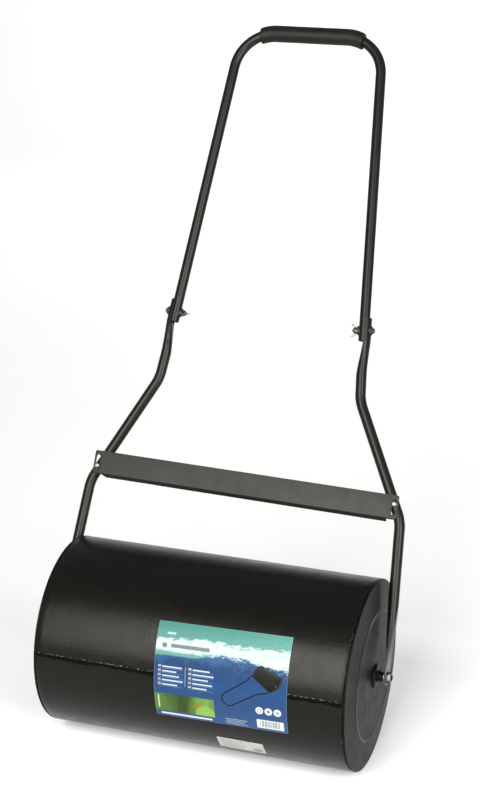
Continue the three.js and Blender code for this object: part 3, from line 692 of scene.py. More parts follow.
def sweep_path(pts, r, n=12, r_end=None):
    """A round wire along points, with rounded ends."""
    P = np.array(pts, float)
    # resample as a smooth curve
    d = np.r_[0, np.cumsum(np.linalg.norm(np.diff(P, axis=0), axis=1))]
    t = np.linspace(0, d[-1], max(8, int(d[-1] / 0.45)))
    Q = np.stack([np.interp(t, d, P[:, k]) for k in range(3)], 1)
    for _ in range(6):
        Q[1:-1] = 0.25 * Q[:-2] + 0.5 * Q[1:-1] + 0.25 * Q[2:]
    T = np.gradient(Q, axis=0); T /= np.linalg.norm(T, axis=1)[:, None]
    up = np.array([1.0, 0, 0]) if abs(T[0][0]) < 0.9 else np.array([0, 1.0, 0])
    stack = []
    for i in range(len(Q)):
        a = up - T[i] * (up @ T[i]); a /= np.linalg.norm(a); up = a
        b = np.cross(T[i], a)
        e = min(i, len(Q) - 1 - i)
        k = r * (1 if e > 2 else (0.55, 0.8, 0.95)[e])
        stack.append([Q[i] + k * (math.cos(w) * a + math.sin(w) * b) for w in [2 * math.pi * j / n for j in range(n)]])
    return rings(stack)

def split_pin():
    """Folded half-round wire: an eye on top, two legs through the hole, ends bent apart."""
    a = [(0.0, 0.62, -10.5), (0.0, 0.6, 8.8), (0, 1.3, 10.8), (0, 3.1, 13.0), (0, 3.3, 15.2), (0, 1.9, 17.4), (0, 0, 18.2), (0, -1.9, 17.4), (0, -3.3, 15.2), (0, -3.1, 13.0), (0, -1.3, 10.8), (0, -0.6, 8.8), (0, -0.62, -10.5)]
    lead = [(0.0, 5.4, -17.2), (0.0, 2.6, -14.2), (0, 1.0, -12.2)]
    tail = [(0, -1.1, -12.0), (0, -2.6, -13.4), (0.0, -3.9, -14.6)]
    return sweep_path(lead + a + tail, 0.72, 10)

for side, name in ((1, "right"), (-1, "left")):
    mir = np.eye(4) if side == 1 else MIRROR
    link(f"washer_inner_{name}", washer(290.9, 292.3, 10.5, 5.35).at(mir).at(DRUM), zinc, "drum", f"{name}_inner_washer", slot="zinc")
    link(f"washer_outer_{name}", washer(296.1, 297.5, 10.0, 5.35).at(mir).at(DRUM), zinc_shaded, "drum", f"{name}_outer_washer", slot="zinc")
    link(f"nut_axle_{name}", hexnut(297.8, 302.8, 17, 4.9).at(mir).at(DRUM), zinc_shaded, "drum", f"{name}_axle_nut", slot="zinc")
    link(f"pin_{name}", split_pin().at(rot("X", math.radians(10))).at(shift(side * 284.6, 0, 0)).at(DRUM), zinc_dark, "drum", f"{name}_split_pin", angle=60, slot="zinc")

# ---- filler neck, seal, plug
fill = DRUM @ shift(0, fy, fz)
neck_o = loop([(-258, 11.3), (-273.5, 11.3), (-273.5, 13.95), (-258, 13.95)], [0.3, 0.6, 0.6, 0.3], 4)
link("neck", revolve(neck_o, 72).at(fill), axle_paint, "drum", "filler_neck", slot="drum_paint")
link("neck_weld", ring_weld(0, 14.9, 0.9, 8.0, 160, 0.3).at(shift(-272.6, 0, 0)).at(fill), axle_paint, "drum", angle=60, slot="drum_paint")
link("seal_ring", revolve(loop([(-273.8, 11.3), (-274.8, 11.3), (-274.8, 15.6), (-273.8, 15.6)], [0.2, 0.2, 0.45, 0.45], 5), 72).at(fill), rubber, "filler_plug", "plug_seal", slot="seal_rubber")
def plug():
    o = [(-262, 0), (-262, 9.4), (-262.7, 10.1)]
    x = -263.4
    while x > -273.2:
        o += [(x, 10.2), (x - 0.55, 10.85), (x - 0.95, 10.85), (x - 1.5, 10.2)]
        x -= 1.8
    o += [(-275.0, 10.4), (-275.1, 10.9), (-275.1, 16.0), (-275.4, 16.45), (-276.7, 16.45), (-277.2, 16.1), (-277.3, 15.2), (-277.3, 0)]
    cuts = [("DIFFERENCE", box_m((-280, -7.6, -1.5), (-275.9, 7.6, 1.5)))]
    notch = None
    for k in range(24):
        c = cyl("x", -279, -274, 0.75, 8).at(shift(0, 16.75, 0)).at(rot("X", k * math.pi / 12 + 0.13))
        notch = c if notch is None else notch + c
    cuts.append(("DIFFERENCE", notch))
    def soften(ob):
        b = ob.modifiers.new("s", "BEVEL"); b.width = 0.00015; b.segments = 2; b.limit_method = "ANGLE"; b.angle_limit = math.radians(50)
    return boolean(spin(o, 96), cuts, soften)
link("plug", plug().at(fill), black_plastic, "filler_plug", "filler_plug", angle=40, slot="plug_plastic")

# ------------------------------------------------------------------ frame tubes
def line2(points, step=3.0, arc=1.6):
    """Stations along a bent centreline in (x, s); each is (x, s, tx, ts). Corners carry a radius."""
    out = []
    P = [np.array(p[:2], float) for p in points]
    rr = [(p[2] if len(p) > 2 else 0) for p in points]
    cur = P[0]
    for i in range(1, len(P)):
        u = P[i] - P[i - 1]; u /= np.linalg.norm(u)
        if i < len(P) - 1 and rr[i]:
            w = P[i + 1] - P[i]; w /= np.linalg.norm(w)
            turn = math.atan2(u[0] * w[1] - u[1] * w[0], float(u @ w))
            lead = rr[i] * math.tan(abs(turn) / 2)
            a = P[i] - u * lead
        else:
            turn, a = 0, P[i]
        L = np.linalg.norm(a - cur); n = max(1, int(round(L / step)))
        for k in range(n + (1 if i == len(P) - 1 else 0)):
            q = cur + (a - cur) * k / n
            out.append((q[0], q[1], u[0], u[1]))
        if turn:
            sg = math.copysign(1, turn)
            c = a + np.array([-u[1], u[0]]) * sg * rr[i]
            m = max(6, int(abs(turn) * rr[i] / arc))
            for k in range(m):
                t = turn * k / m
                f = a - c
                q = np.array([f[0] * math.cos(t) - f[1] * math.sin(t), f[0] * math.sin(t) + f[1] * math.cos(t)]) + c
                d = np.array([u[0] * math.cos(t) - u[1] * math.sin(t), u[0] * math.sin(t) + u[1] * math.cos(t)])
                out.append((q[0], q[1], d[0], d[1]))
            cur = P[i] + w * lead
        else:
            cur = a
    return out

def sweep2(line, section, n):
    stack = []
    for st in line:
        x, s, tx, ts = st
        ab = section(s, n)
        stack.append(np.stack([x + ab[:, 0] * ts, ab[:, 1], s - ab[:, 0] * tx], 1))
    return np.array(stack)

def ring2(r):
    def f(s, n):
        t = np.arange(n) * 2 * math.pi / n
        return np.stack([r * np.cos(t), r * np.sin(t)], 1)
    return f

def lineX(s):
    return JOINT_X + (JOINT_S - s) * SLOPE

N_ARM = 64
def round_even(pts, n):
    """n points spaced evenly round a closed 2D curve, keeping the first point."""
    p = np.vstack([pts, pts[:1]])
    d = np.r_[0, np.cumsum(np.linalg.norm(np.diff(p, axis=0), axis=1))]
    t = np.arange(n) * d[-1] / n
    return np.stack([np.interp(t, d, p[:, 0]), np.interp(t, d, p[:, 1])], 1)

def arm_section(s, n):
    t = np.arange(n) * 2 * math.pi / n
    if s < 150:
        # a round tube pinched flat: flat faces close in, with a soft crease where they meet the round edges
        k = min(1.0, max(0.0, (s - 34) / 84))
        h = 1.5 + 7.6 * (k ** 0.85)
        rho = 9.0 + (EYE_W - 9.0) * (1 - smooth((s - 30) / 84))
        if s < 0:
            rho = math.sqrt(max(EYE_W ** 2 - s * s, 0.3))
        a, b = rho * np.cos(t), rho * np.sin(t)
        soft = 0.35 + 0.5 * k
        lim = np.minimum(np.abs(a), h)
        a2 = np.sign(a) * (lim - soft * np.exp(-np.abs(np.abs(a) - h) / soft) * 0.5 * (h < 8.8))
        a2 = np.where(np.abs(a) < 1e-9, 0, a2)
        if h < 1.6:
            edge = np.clip((rho - np.abs(b)) / 1.5, 0, 1)
            a2 = np.sign(np.cos(t)) * h * np.sqrt(1 - (1 - edge) ** 2)
        return np.stack([a2, b], 1)
    c_out = min(1.0, max(0.0, (s - 496) / 56)) ** 1.5
    c_in = 0.5 * min(1.0, max(0.0, (s - 494) / 55)) ** 1.25
    if s > 549.5:
        c_in = 0.5 + 0.5 * min(1.0, (s - 549.5) / 2.4)
    if c_out <= 0 and c_in <= 0:
        return np.stack([9 * np.cos(t), 9 * np.sin(t)], 1)
    # round tube to a two-wall saddle that clasps the outer side of the upper tube
    half = math.radians(71)
    ro, ri = SADDLE_R + 2.95, SADDLE_R + 0.02
    rm, e = (ro + ri) / 2, (ro - ri) / 2
    q = n // 2
    k_arc, k_end = int(q * 0.86), q - int(q * 0.86)
    sad, rnd_ = [], []
    def add(p, tt): sad.append(p); rnd_.append((9 * math.cos(tt), 9 * math.sin(tt)))
    u = 0
    for j in range(n):
        th_ = t[j]
        c = math.cos(th_)
        frac = j / n
        # outer arc for the outer half, inner arc for the inner half, joined by rounded folds
        if frac < 0.22 or frac >= 0.78:
            f = (frac if frac < 0.5 else frac - 1) / 0.22 * half
            add((ro * math.cos(f), ro * math.sin(f)), th_)
        elif 0.28 <= frac <= 0.72:
            f = (0.5 - frac) / 0.22 * half
            add((ri * math.cos(f), ri * math.sin(f)), th_)
        else:
            sgn = 1 if frac < 0.5 else -1
            g_ = (frac - 0.22) / 0.06 if frac < 0.5 else (0.78 - frac) / 0.06
            w = math.pi * g_
            cx, cy = rm * math.cos(half), rm * math.sin(half)
            # turn from outward radial direction round the end to inward
            ca, sa = math.cos(half), math.sin(half)
            px = cx + e * (math.cos(w) * ca - math.sin(w) * sa)
            py = cy + e * (math.cos(w) * sa + math.sin(w) * ca)
            add((px, sgn * py), th_)
    sad, rnd_ = np.array(sad), np.array(rnd_)
    far = np.abs(np.arange(n) / n - 0.5)
    w = np.array([1 - smooth((d - 0.15) / 0.11) for d in far])
    crush = (c_out + (c_in - c_out) * w)[:, None]
    out = rnd_ * (1 - crush) + sad * crush
    return out

arm_pts = [(EYE_X, -13.15), (EYE_X, 30), (*ARM_C1, ARM_BEND_R), (*ARM_C2, ARM_BEND_R), (lineX(503), 503, 200), (lineX(ARM_TOP_S), ARM_TOP_S)]
base_line = line2(arm_pts, 2.6, 1.7)
fine_line = [(EYE_X, s, 0.0, 1.0) for s in (-13.3, -13.0, -12.4, -11.6, -10.4, -9.0, -7.0, -4.5, -1.5)] + [st for st in base_line if st[1] > 0.5]
u_ = np.array([-SLOPE, 1.0]) / math.hypot(SLOPE, 1)
fine_line = sorted([st for st in fine_line if not 548.2 < st[1] < 553.4] + [(lineX(s_), s_, u_[0], u_[1]) for s_ in (548.6, 549.5, 550.3, 551.1, 551.9, 552.8)], key=lambda st: st[1])
arm_skin = sweep2(fine_line, arm_section, N_ARM)

def arm_mesh():
    cutters = [("DIFFERENCE", cyl("x", EYE_X - 6, EYE_X + 6, 5.35, 40)),
               ("DIFFERENCE", cyl("y", -20, 20, 2.8, 24).at(shift(BAR_SCREW_X, 0, BAR_SCREW_S))),
               ("DIFFERENCE", cyl("x", 0, 30, 3.4, 24).at(rot("Y", -math.atan(SLOPE))).at(shift(JOINT_X, 0, JOINT_S)))]
    # the tube is hollow between its crushed ends
    inner = [st for st in fine_line if 62 < st[1] < 494]
    def bore(s, n):
        ab = arm_section(s, n)
        k = 1 - TUBE_WALL / 9.0
        return ab * np.array([max(0.15, 1 - TUBE_WALL / max(abs(ab[:, 0]).max(), 1e-6)), k])
    hollow = rings(sweep2(inner[::3], bore, 24))
    return boolean(rings(arm_skin), [("DIFFERENCE", hollow)] + cutters)

arm = arm_mesh()
link("arm_right", arm.at(HANDLE), tube_paint, "handle_frame", "right_lower_arm", angle=38, slot="frame_paint")
link("arm_left", arm.at(MIRROR).at(HANDLE), tube_paint, "handle_frame", "left_lower_arm", angle=38, slot="frame_paint")

topX = JOINT_X - (TOP_S - JOINT_S) * SLOPE
upper = line2([(-lineX(UPPER_END_S), UPPER_END_S), (-topX, TOP_S, TOP_BEND_R), (topX, TOP_S, TOP_BEND_R), (lineX(UPPER_END_S), UPPER_END_S)], 6.0, 1.8)
def handle_mesh():
    n = 48
    o = sweep2(upper, ring2(9.0), n)
    i = sweep2(upper, ring2(9.0 - TUBE_WALL), n)
    # broken edges at the cut ends
    first, last = o[0].copy(), o[-1].copy()
    def inset(section, toward, k):
        c = section.mean(0); return c + (section - c) * k + toward
    d0 = (o[1].mean(0) - o[0].mean(0)); d0 /= np.linalg.norm(d0)
    d1 = (o[-2].mean(0) - o[-1].mean(0)); d1 /= np.linalg.norm(d1)
    o = np.concatenate([[inset(o[0], 0, 0.972)], [inset(o[0], d0 * 0.25, 1.0)], o[1:-1], [inset(o[-1], d1 * 0.25, 1.0)], [inset(o[-1], 0, 0.972)]], 0)
    m = tube_of(o, i)
    cutters = []
    for side in (1, -1):
        cutters.append(("DIFFERENCE", cyl("x", -15, 15, 3.4, 24).at(rot("Y", -side * math.atan(SLOPE))).at(shift(side * JOINT_X, 0, JOINT_S))))
    return boolean(m, cutters)
link("handle_tube", handle_mesh().at(HANDLE), tube_paint, "handle_frame", "upper_handle", angle=38, slot="frame_paint")

# ---- foam grip
def grip_mesh():
    turn = math.pi / 2 - math.atan(SLOPE)
    flat = topX - TOP_BEND_R * math.tan(turn / 2)
    L0, L1 = GRIP_X
    def at(x):
        past = max(0.0, abs(x) - flat); a = math.asin(past / TOP_BEND_R); sg = 1 if x > 0 else -1
        return (x, TOP_S - TOP_BEND_R * (1 - math.cos(a)), math.cos(a), -sg * math.sin(a))
    xs_ = np.concatenate([[L0, L0 + 0.15, L0 + 0.6, L0 + 1.3, L0 + 2.2], np.linspace(L0 + 3.6, L1 - 3.6, 120), [L1 - 2.2, L1 - 1.3, L1 - 0.6, L1 - 0.15, L1]])
    n = 72
    t = np.arange(n) * 2 * math.pi / n
    outer, inner = [], []
    for x in xs_:
        px, ps, tx, ts = at(x)
        e = min(x - L0, L1 - x)
        # the cut ends stay nearly upright while the tube bends inside them
        up_ = 0.62 * (1 - smooth(e / 24))
        k_ = math.hypot(tx * (1 - up_) + up_, ts * (1 - up_))
        tx, ts = (tx * (1 - up_) + up_) / k_, ts * (1 - up_) / k_
        rr = GRIP_R - 0.15 - (2.0 - math.sqrt(max(0, 4.0 - (2.0 - min(e, 2.0)) ** 2)))
        bow = 0.25 * math.sin(min(1, e / 30) * math.pi / 2) - 0.25
        sect, sect_i = [], []
        for a in t:
            p = (px, 20 * math.cos(a), 20 * math.sin(a))
            r_ = rr + bow + 0.16 * rnd(p, 17, 4.0) + 0.07 * rnd(p, 5, 8.0)
            # a faint flat along the parting line of the extrusion
            r_ -= 0.12 * math.exp(-((a - 4.4) / 0.10) ** 2)
            ca, cb = r_ * math.cos(a), r_ * math.sin(a)
            sect.append((px + ca * ts, cb, ps - ca * tx))
            ci, di = 9.45 * math.cos(a), 9.45 * math.sin(a)
            sect_i.append((px + ci * ts, di, ps - ci * tx))
        outer.append(sect); inner.append(sect_i)
    return tube_of(np.array(outer), np.array(inner)[:])
grip = link("grip", grip_mesh().at(HANDLE), foam, "handle_frame", "foam_grip", angle=60, slot="grip_foam")

# ---- crossbar
def bar_mesh():
    h, T = BAR_H / 2, BAR_T
    # section in (n, z): front face, then the bend, then the flange going back and slightly down
    front, back = -TUBE_R - 0.3 - T, -TUBE_R - 0.3
    drop = math.radians(10)
    bz = -h
    # centre the folded corner on the face's lower edge
    outer_r = 2.6
    pts = [(front, h), (front, bz), (front + (BAR_FLANGE) * math.cos(drop), bz - BAR_FLANGE * math.sin(drop)),
           (front + (BAR_FLANGE) * math.cos(drop) + T * math.sin(drop), bz - BAR_FLANGE * math.sin(drop) + T * math.cos(drop)),
           (back, bz + T + 0.05), (back, h)]
    sec = loop(pts, [0.35, outer_r, 0.35, 0.35, outer_r - T, 0.35], 6)
    xs_ = np.linspace(-BAR_HALF, BAR_HALF, 90)
    stack = []
    for x in xs_:
        w = 0.20 * rnd((x, 0, 0), 90, 3.3)
        row = []
        for (a, z) in sec:
            wob = w * (0.5 + 0.5 * min(1, max(0, (BAR_HALF - abs(x)) / 60)))
            k = 0.25 * rnd((x, 0, z), 60, 6.1) if z < -h - 0.5 else 0
            row.append((x, a + abs(wob) * 0.4 * 0, z + k * 0.6))
        stack.append(row)
    m = rings(stack)
    cut = []
    for side in (-1, 1):
        r, l = SLOT_W / 2, SLOT_LEN / 2 - SLOT_W / 2
        slot = spin([(-20, 0), (-20, r), (0, r), (0, 0)], 40).at(rot("Z", math.pi / 2))   # along Y
        c = np.array(slot.v); up = c[:, 2] > 1e-6
        c[up, 2] += l; c[~up, 2] -= l
        cut.append(("DIFFERENCE", M(c, slot.f).at(shift(side * BAR_SCREW_X, 0, 0))))
        # flange ends short of the arms, with its corner cut back
        x0 = -259.0 if side < 0 else 258.2
        x1 = -254.4 if side < 0 else 253.6
        far = side * 300
        y0, y1, ym = front + T + 0.4, front + BAR_FLANGE + 6, front + T + 2.5
        prism = [(x0, y0), (far, y0), (far, y1), (x1, y1), (x0, ym)]
        z0, z1 = -h - 8, -h + 4.2
        v = [(x, y, z0) for x, y in prism] + [(x, y, z1) for x, y in prism]
        k = len(prism)
        f = [tuple(range(k))[::-1], tuple(range(k, 2 * k))] + [(i, (i + 1) % k, k + (i + 1) % k, k + i) for i in range(k)]
        cut.append(("DIFFERENCE", M(v, f)))
        # rounded corners of the face
        for sz in (-1, 1):
            R_ = 3.2
            cx, cz = side * (BAR_HALF - R_), sz * (h - R_)
            arc = [(cx + side * R_ * math.sin(a), cz + sz * R_ * math.cos(a)) for a in np.linspace(0, math.pi / 2, 9)]
            poly = arc + [(side * (BAR_HALF + 3), cz), (side * (BAR_HALF + 3), sz * (h + 3)), (cx, sz * (h + 3))]
            if sz < 0:
                poly = arc + [(side * (BAR_HALF + 3), cz), (side * (BAR_HALF + 3), sz * (h + 9)), (cx, sz * (h + 9))]
            k = len(poly)
            v = [(x, -14, z) for x, z in poly] + [(x, -8.6, z) for x, z in poly]
            f = [tuple(range(k)), tuple(range(2 * k - 1, k - 1, -1))] + [((i + 1) % k, i, k + i, k + (i + 1) % k) for i in range(k)]
            cut.append(("DIFFERENCE", M(v, f)))
    def soften(ob):
        b = ob.modifiers.new("s", "BEVEL"); b.width = 0.00022; b.segments = 2; b.limit_method = "ANGLE"; b.angle_limit = math.radians(50)
    return boolean(m, cut, soften)
bar_m = bar_mesh().at(rot("Y", BAR_TILT)).at(shift(0, 0, BAR_S)).at(HANDLE)
link("scraper_bar", bar_m, bar_paint, "crossbar", "crossbar", angle=35, slot="frame_paint")

# ------------------------------------------------------------------ joint hardware
def hexhead(x0, x1, flats):
    R = flats / 2 / math.cos(math.pi / 6)
    body = cyl("x", x0, x1, R, 6)
    mid = spin([(x0 - 0.02, 0), (x0 - 0.02, R + 0.05), (x1 - (R - flats / 2) * 0.8, R + 0.05), (x1 + 0.02, flats / 2 * 0.95), (x1 + 0.02, 0)], 64)
    dish = spin([(x1 - 0.45, 0), (x1 - 0.4, flats / 2 * 0.45), (x1 + 1, flats / 2 * 0.72), (x1 + 1, 0)], 40)
    def soften(ob):
        b = ob.modifiers.new("s", "BEVEL"); b.width = 0.00012; b.segments = 2; b.limit_method = "ANGLE"; b.angle_limit = math.radians(35)
    return boolean(body, [("INTERSECT", mid), ("DIFFERENCE", dish)], soften)

def thread(x0, x1, r, pitch=1.0, end=True):
    o = [(x0, 0), (x0, r - 0.7), (x0 + 0.5, r - 0.25)]
    x = x0 + 0.6
    while x < x1 - pitch:
        o += [(x, r - 0.42), (x + pitch * 0.42, r), (x + pitch * 0.58, r), (x + pitch, r - 0.42)]
        x += pitch
    o += [(x1, r - 0.42), (x1, 0)]
    return spin(o, 32)

def joint_bolt():
    head = hexhead(14.5, 17.7, 9.0)
    shank = spin([(-9, 0), (-9, 2.95), (14.6, 2.95), (14.6, 0)], 32)
    return head + shank + thread(-20.2, -8.9, 2.98)

def saddle_washer(x0, x1, hollow, r=8.0):
    o = loop([(x0, 3.4), (x1, 3.4), (x1, r), (x0, r)], [0.2, 0.3, 1.1, 0.2], 5)
    body = revolve(o, 64)
    def soften(ob):
        b = ob.modifiers.new("s", "BEVEL"); b.width = 0.0002; b.segments = 2; b.limit_method = "ANGLE"; b.angle_limit = math.radians(45)
    return boolean(body, [("DIFFERENCE", cyl("z", -14, 14, hollow, 96))], soften)

def wing_nut():
    """Cast wing nut: a tapered hub with two swept wings, fused and softened."""
    hub = spin([(-12.9, 0), (-12.9, 5.2), (-13.3, 5.6), (-17.2, 4.85), (-18.1, 4.2), (-18.3, 3.9), (-18.3, 0)], 48)
    parts = hub
    for turn in (0, math.pi):
        outline = loop([(1.5, 13.5), (5.2, 13.6), (8.8, 16.1), (11.1, 19.2), (11.5, 21.5), (10.1, 22.5), (8.0, 21.7), (5.8, 18.7), (1.5, 17.5)], [0.1, 1.5, 4, 4, 1.4, 1.2, 1.4, 4, 0.1], 5)
        k = len(outline)
        rows = []
        for z, s_ in ((-1.25, 0.86), (-0.75, 0.97), (0, 1.0), (0.75, 0.97), (1.25, 0.86)):
            c = outline.mean(0)
            rows.append([(-(c + (p - c) * s_)[1], -z * 1.0, (c + (p - c) * s_)[0]) for p in outline])
        w = rings(rows)
        parts = parts + w.at(rot("X", turn))
    ob = temp(parts, "wing")
    rm = ob.modifiers.new("r", "REMESH"); rm.mode = "VOXEL"; rm.voxel_size = 0.00032
    sm = ob.modifiers.new("s", "SMOOTH"); sm.iterations = 4; sm.factor = 0.5
    apply_all(ob)
    me = ob.data
    co = np.zeros(len(me.vertices) * 3); me.vertices.foreach_get("co", co)
    m = M(co.reshape(-1, 3) / MM, [tuple(p.vertices) for p in me.polygons])
    bpy.data.objects.remove(ob); bpy.data.meshes.remove(me)
    return boolean(m, [("DIFFERENCE", cyl("x", -30, -10, 3.3, 32))])

def pan_screw():
    """Pan head with a cross recess, and a threaded shank; along +Y, head at the front."""
    head = spin(loop([(11.1, 0), (11.1, 4.75), (13.0, 4.75), (14.35, 3.0), (14.55, 0)], [0, 0.2, 1.4, 2.5, 0], 6, closed=False), 56)
    cross = box_m((13.0, -2.6, -0.55), (16, 2.6, 0.55)) + M([], [])
    head = boolean(head, [("DIFFERENCE", box_m((13.1, -2.5, -0.5), (16, 2.5, 0.5))), ("DIFFERENCE", box_m((13.1, -0.5, -2.5), (16, 0.5, 2.5)))])
    sh = spin([(-6, 0), (-6, 2.45), (11.3, 2.45), (11.3, 0)], 28) + thread(-17, -5.9, 2.48, 0.8)
    return (head + sh).at(rot("Z", -math.pi / 2))

nut_m, outer_s, inner_s = wing_nut(), saddle_washer(9.6, 14.2, SADDLE_R + 3.05), saddle_washer(-11.0, -6.2, TUBE_R + 0.12)
bolt_m = joint_bolt()
screw_m = pan_screw()
to_y = rot("Z", math.pi / 2)
for side, name in ((1, "right"), (-1, "left")):
    J = joint_frame(side)
    link(f"bolt_{name}", bolt_m.at(rot("X", 0.3 * side)).at(J), zinc_shaded, "handle_frame", f"{name}_joint_bolt", slot="zinc")
    link(f"saddle_out_{name}", outer_s.at(J), black_plastic, "handle_frame", f"{name}_outer_saddle_washer", slot="black_washer")
    link(f"saddle_in_{name}", inner_s.at(J), black_plastic, "handle_frame", f"{name}_inner_saddle_washer", slot="black_washer")
    link(f"washer_joint_{name}", washer(-12.6, -11.4, 6.4, 3.35).at(J), zinc_shaded, "handle_frame", f"{name}_joint_washer", slot="zinc")
    link(f"wing_{name}", nut_m.at(rot("X", math.radians(4 if side == 1 else 84))).at(J), zinc_shaded, f"{name}_wing_nut", f"{name}_wing_nut", angle=50, slot="zinc")
    S = screw_frame(side)
    link(f"screw_{name}", screw_m.at(rot("Y", 0.5 * side)).at(S), zinc_mid, "handle_frame", f"{name}_crossbar_screw", slot="zinc")
    link(f"washer_bar_{name}", washer(9.4, 10.4, 5.2, 2.85, 48).at(to_y).at(S), zinc_mid, "handle_frame", f"{name}_crossbar_washer", slot="zinc")
    link(f"nut_bar_{name}", hexnut(10.7, 14.7, 8, 2.45).at(to_y).at(S), zinc_mid, "handle_frame", f"{name}_crossbar_nut", slot="zinc")

# ------------------------------------------------------------------ labels
def curved_sheet(x0, x1, d0, d1, r, t, nx, na, corner=2.5, turn=0.0):
    """A thin sheet on the drum with rounded corners; attribute 'art' holds (u, v, 0) from 0 to 1, v up."""
    W, H = x1 - x0, math.radians(d1 - d0) * r
    v, art, f = [], [], []
    us = np.linspace(0, 1, nx); vs = np.linspace(0, 1, na)
    for k, rr in ((0, r), (1, r + t)):
        for vv in vs:
            for uu in us:
                # pull the corners in to round them
                x, y = uu * W, vv * H
                cx, cy = min(max(x, corner), W - corner), min(max(y, corner), H - corner)
                dx, dy = x - cx, y - cy
                m = max(abs(dx), abs(dy))
                if m > 0 and abs(dx) > 0 and abs(dy) > 0:
                    q = math.hypot(dx, dy); dx, dy = dx / q * m, dy / q * m
                px, py = cx + dx, cy + dy
                qx, qy = px - W / 2, py - H / 2
                ct, st = math.cos(turn), math.sin(turn)
                sx_, sy_ = W / 2 + qx * ct - qy * st, H / 2 + qx * st + qy * ct
                a = math.radians(d0) + sy_ / r
                lift = 0.0
                v.append((x0 + sx_, -(rr + lift) * math.cos(a), (rr + lift) * math.sin(a)))
                art.append((px / W, py / H, k))
    n = nx * na
    def q(k, i, j): return k * n + i * nx + j
    for i in range(na - 1):
        for j in range(nx - 1):
            f.append((q(1, i, j), q(1, i, j + 1), q(1, i + 1, j + 1), q(1, i + 1, j)))
            f.append((q(0, i, j), q(0, i + 1, j), q(0, i + 1, j + 1), q(0, i, j + 1)))
    for j in range(nx - 1):
        f.append((q(0, 0, j), q(0, 0, j + 1), q(1, 0, j + 1), q(1, 0, j)))
        f.append((q(0, na - 1, j), q(1, na - 1, j), q(1, na - 1, j + 1), q(0, na - 1, j + 1)))
    for i in range(na - 1):
        f.append((q(0, i, 0), q(1, i, 0), q(1, i + 1, 0), q(0, i + 1, 0)))
        f.append((q(0, i, nx - 1), q(0, i + 1, nx - 1), q(1, i + 1, nx - 1), q(1, i, nx - 1)))
    return M(v, f, {"art": art})


class Art(G):
    """Flat artwork on u, v from the 'art' attribute: masks are 1 inside a shape."""
    def __init__(self, mat):
        super().__init__(mat)
        a = self.node("ShaderNodeAttribute", attribute_name="art", attribute_type="GEOMETRY")
        self.uv = a.outputs["Vector"]
        o = self.xyz(self.uv)
        self.u, self.v = o[0], o[1]

    def inside(self, src, a, b, soft=0.0025):
        lo = self.range(src, a - soft, a + soft, 0, 1)
        hi = self.range(src, b - soft, b + soft, 1, 0)
        return self.math("MULTIPLY", lo, hi, clamp=True)

    def rect(self, u0, v0, u1, v1, soft=0.002):
        return self.math("MULTIPLY", self.inside(self.u, u0, u1, soft), self.inside(self.v, v0, v1, soft * 1.4))

    def disc(self, u, v, r, aspect, soft=0.003):
        du = self.math("MULTIPLY", self.math("SUBTRACT", self.u, u), aspect)
        dv = self.math("SUBTRACT", self.v, v)
        d = self.math("SQRT", self.math("ADD", self.math("MULTIPLY", du, du), self.math("MULTIPLY", dv, dv)))
        return self.range(d, r - soft, r + soft, 1, 0)

    def line(self, a, b, w, aspect, soft=0.002):
        """A straight stroke from a to b, in u, v."""
        ax, ay, bx, by = a[0] * aspect, a[1], b[0] * aspect, b[1]
        L = math.hypot(bx - ax, by - ay); ux, uy = (bx - ax) / L, (by - ay) / L
        px = self.math("SUBTRACT", self.math("MULTIPLY", self.u, aspect), ax)
        py = self.math("SUBTRACT", self.v, ay)
        along = self.math("ADD", self.math("MULTIPLY", px, ux), self.math("MULTIPLY", py, uy))
        across = self.math("ADD", self.math("MULTIPLY", px, -uy), self.math("MULTIPLY", py, ux))
        near = self.range(self.math("ABSOLUTE", across), w - soft, w + soft, 1, 0)
        return self.math("MULTIPLY", near, self.inside(along, 0, L, soft))

    def poly(self, pts, aspect, soft=0.004):
        """A convex shape from its corners, listed clockwise."""
        out = None
        for (ua, va), (ub, vb) in zip(pts, pts[1:] + pts[:1]):
            ax, ay, bx, by = ua * aspect, va, ub * aspect, vb
            L = math.hypot(bx - ax, by - ay)
            nx_, ny_ = (by - ay) / L, -(bx - ax) / L
            d = self.math("ADD", self.math("MULTIPLY", self.math("SUBTRACT", self.math("MULTIPLY", self.u, aspect), ax), nx_),
                          self.math("MULTIPLY", self.math("SUBTRACT", self.v, ay), ny_))
            side = self.range(d, -soft, soft, 0, 1)
            out = side if out is None else self.math("MULTIPLY", out, side)
        return out

    def any(self, *masks):
        out = masks[0]
        for m in masks[1:]:
            out = self.math("MAXIMUM", out, m)
        return out


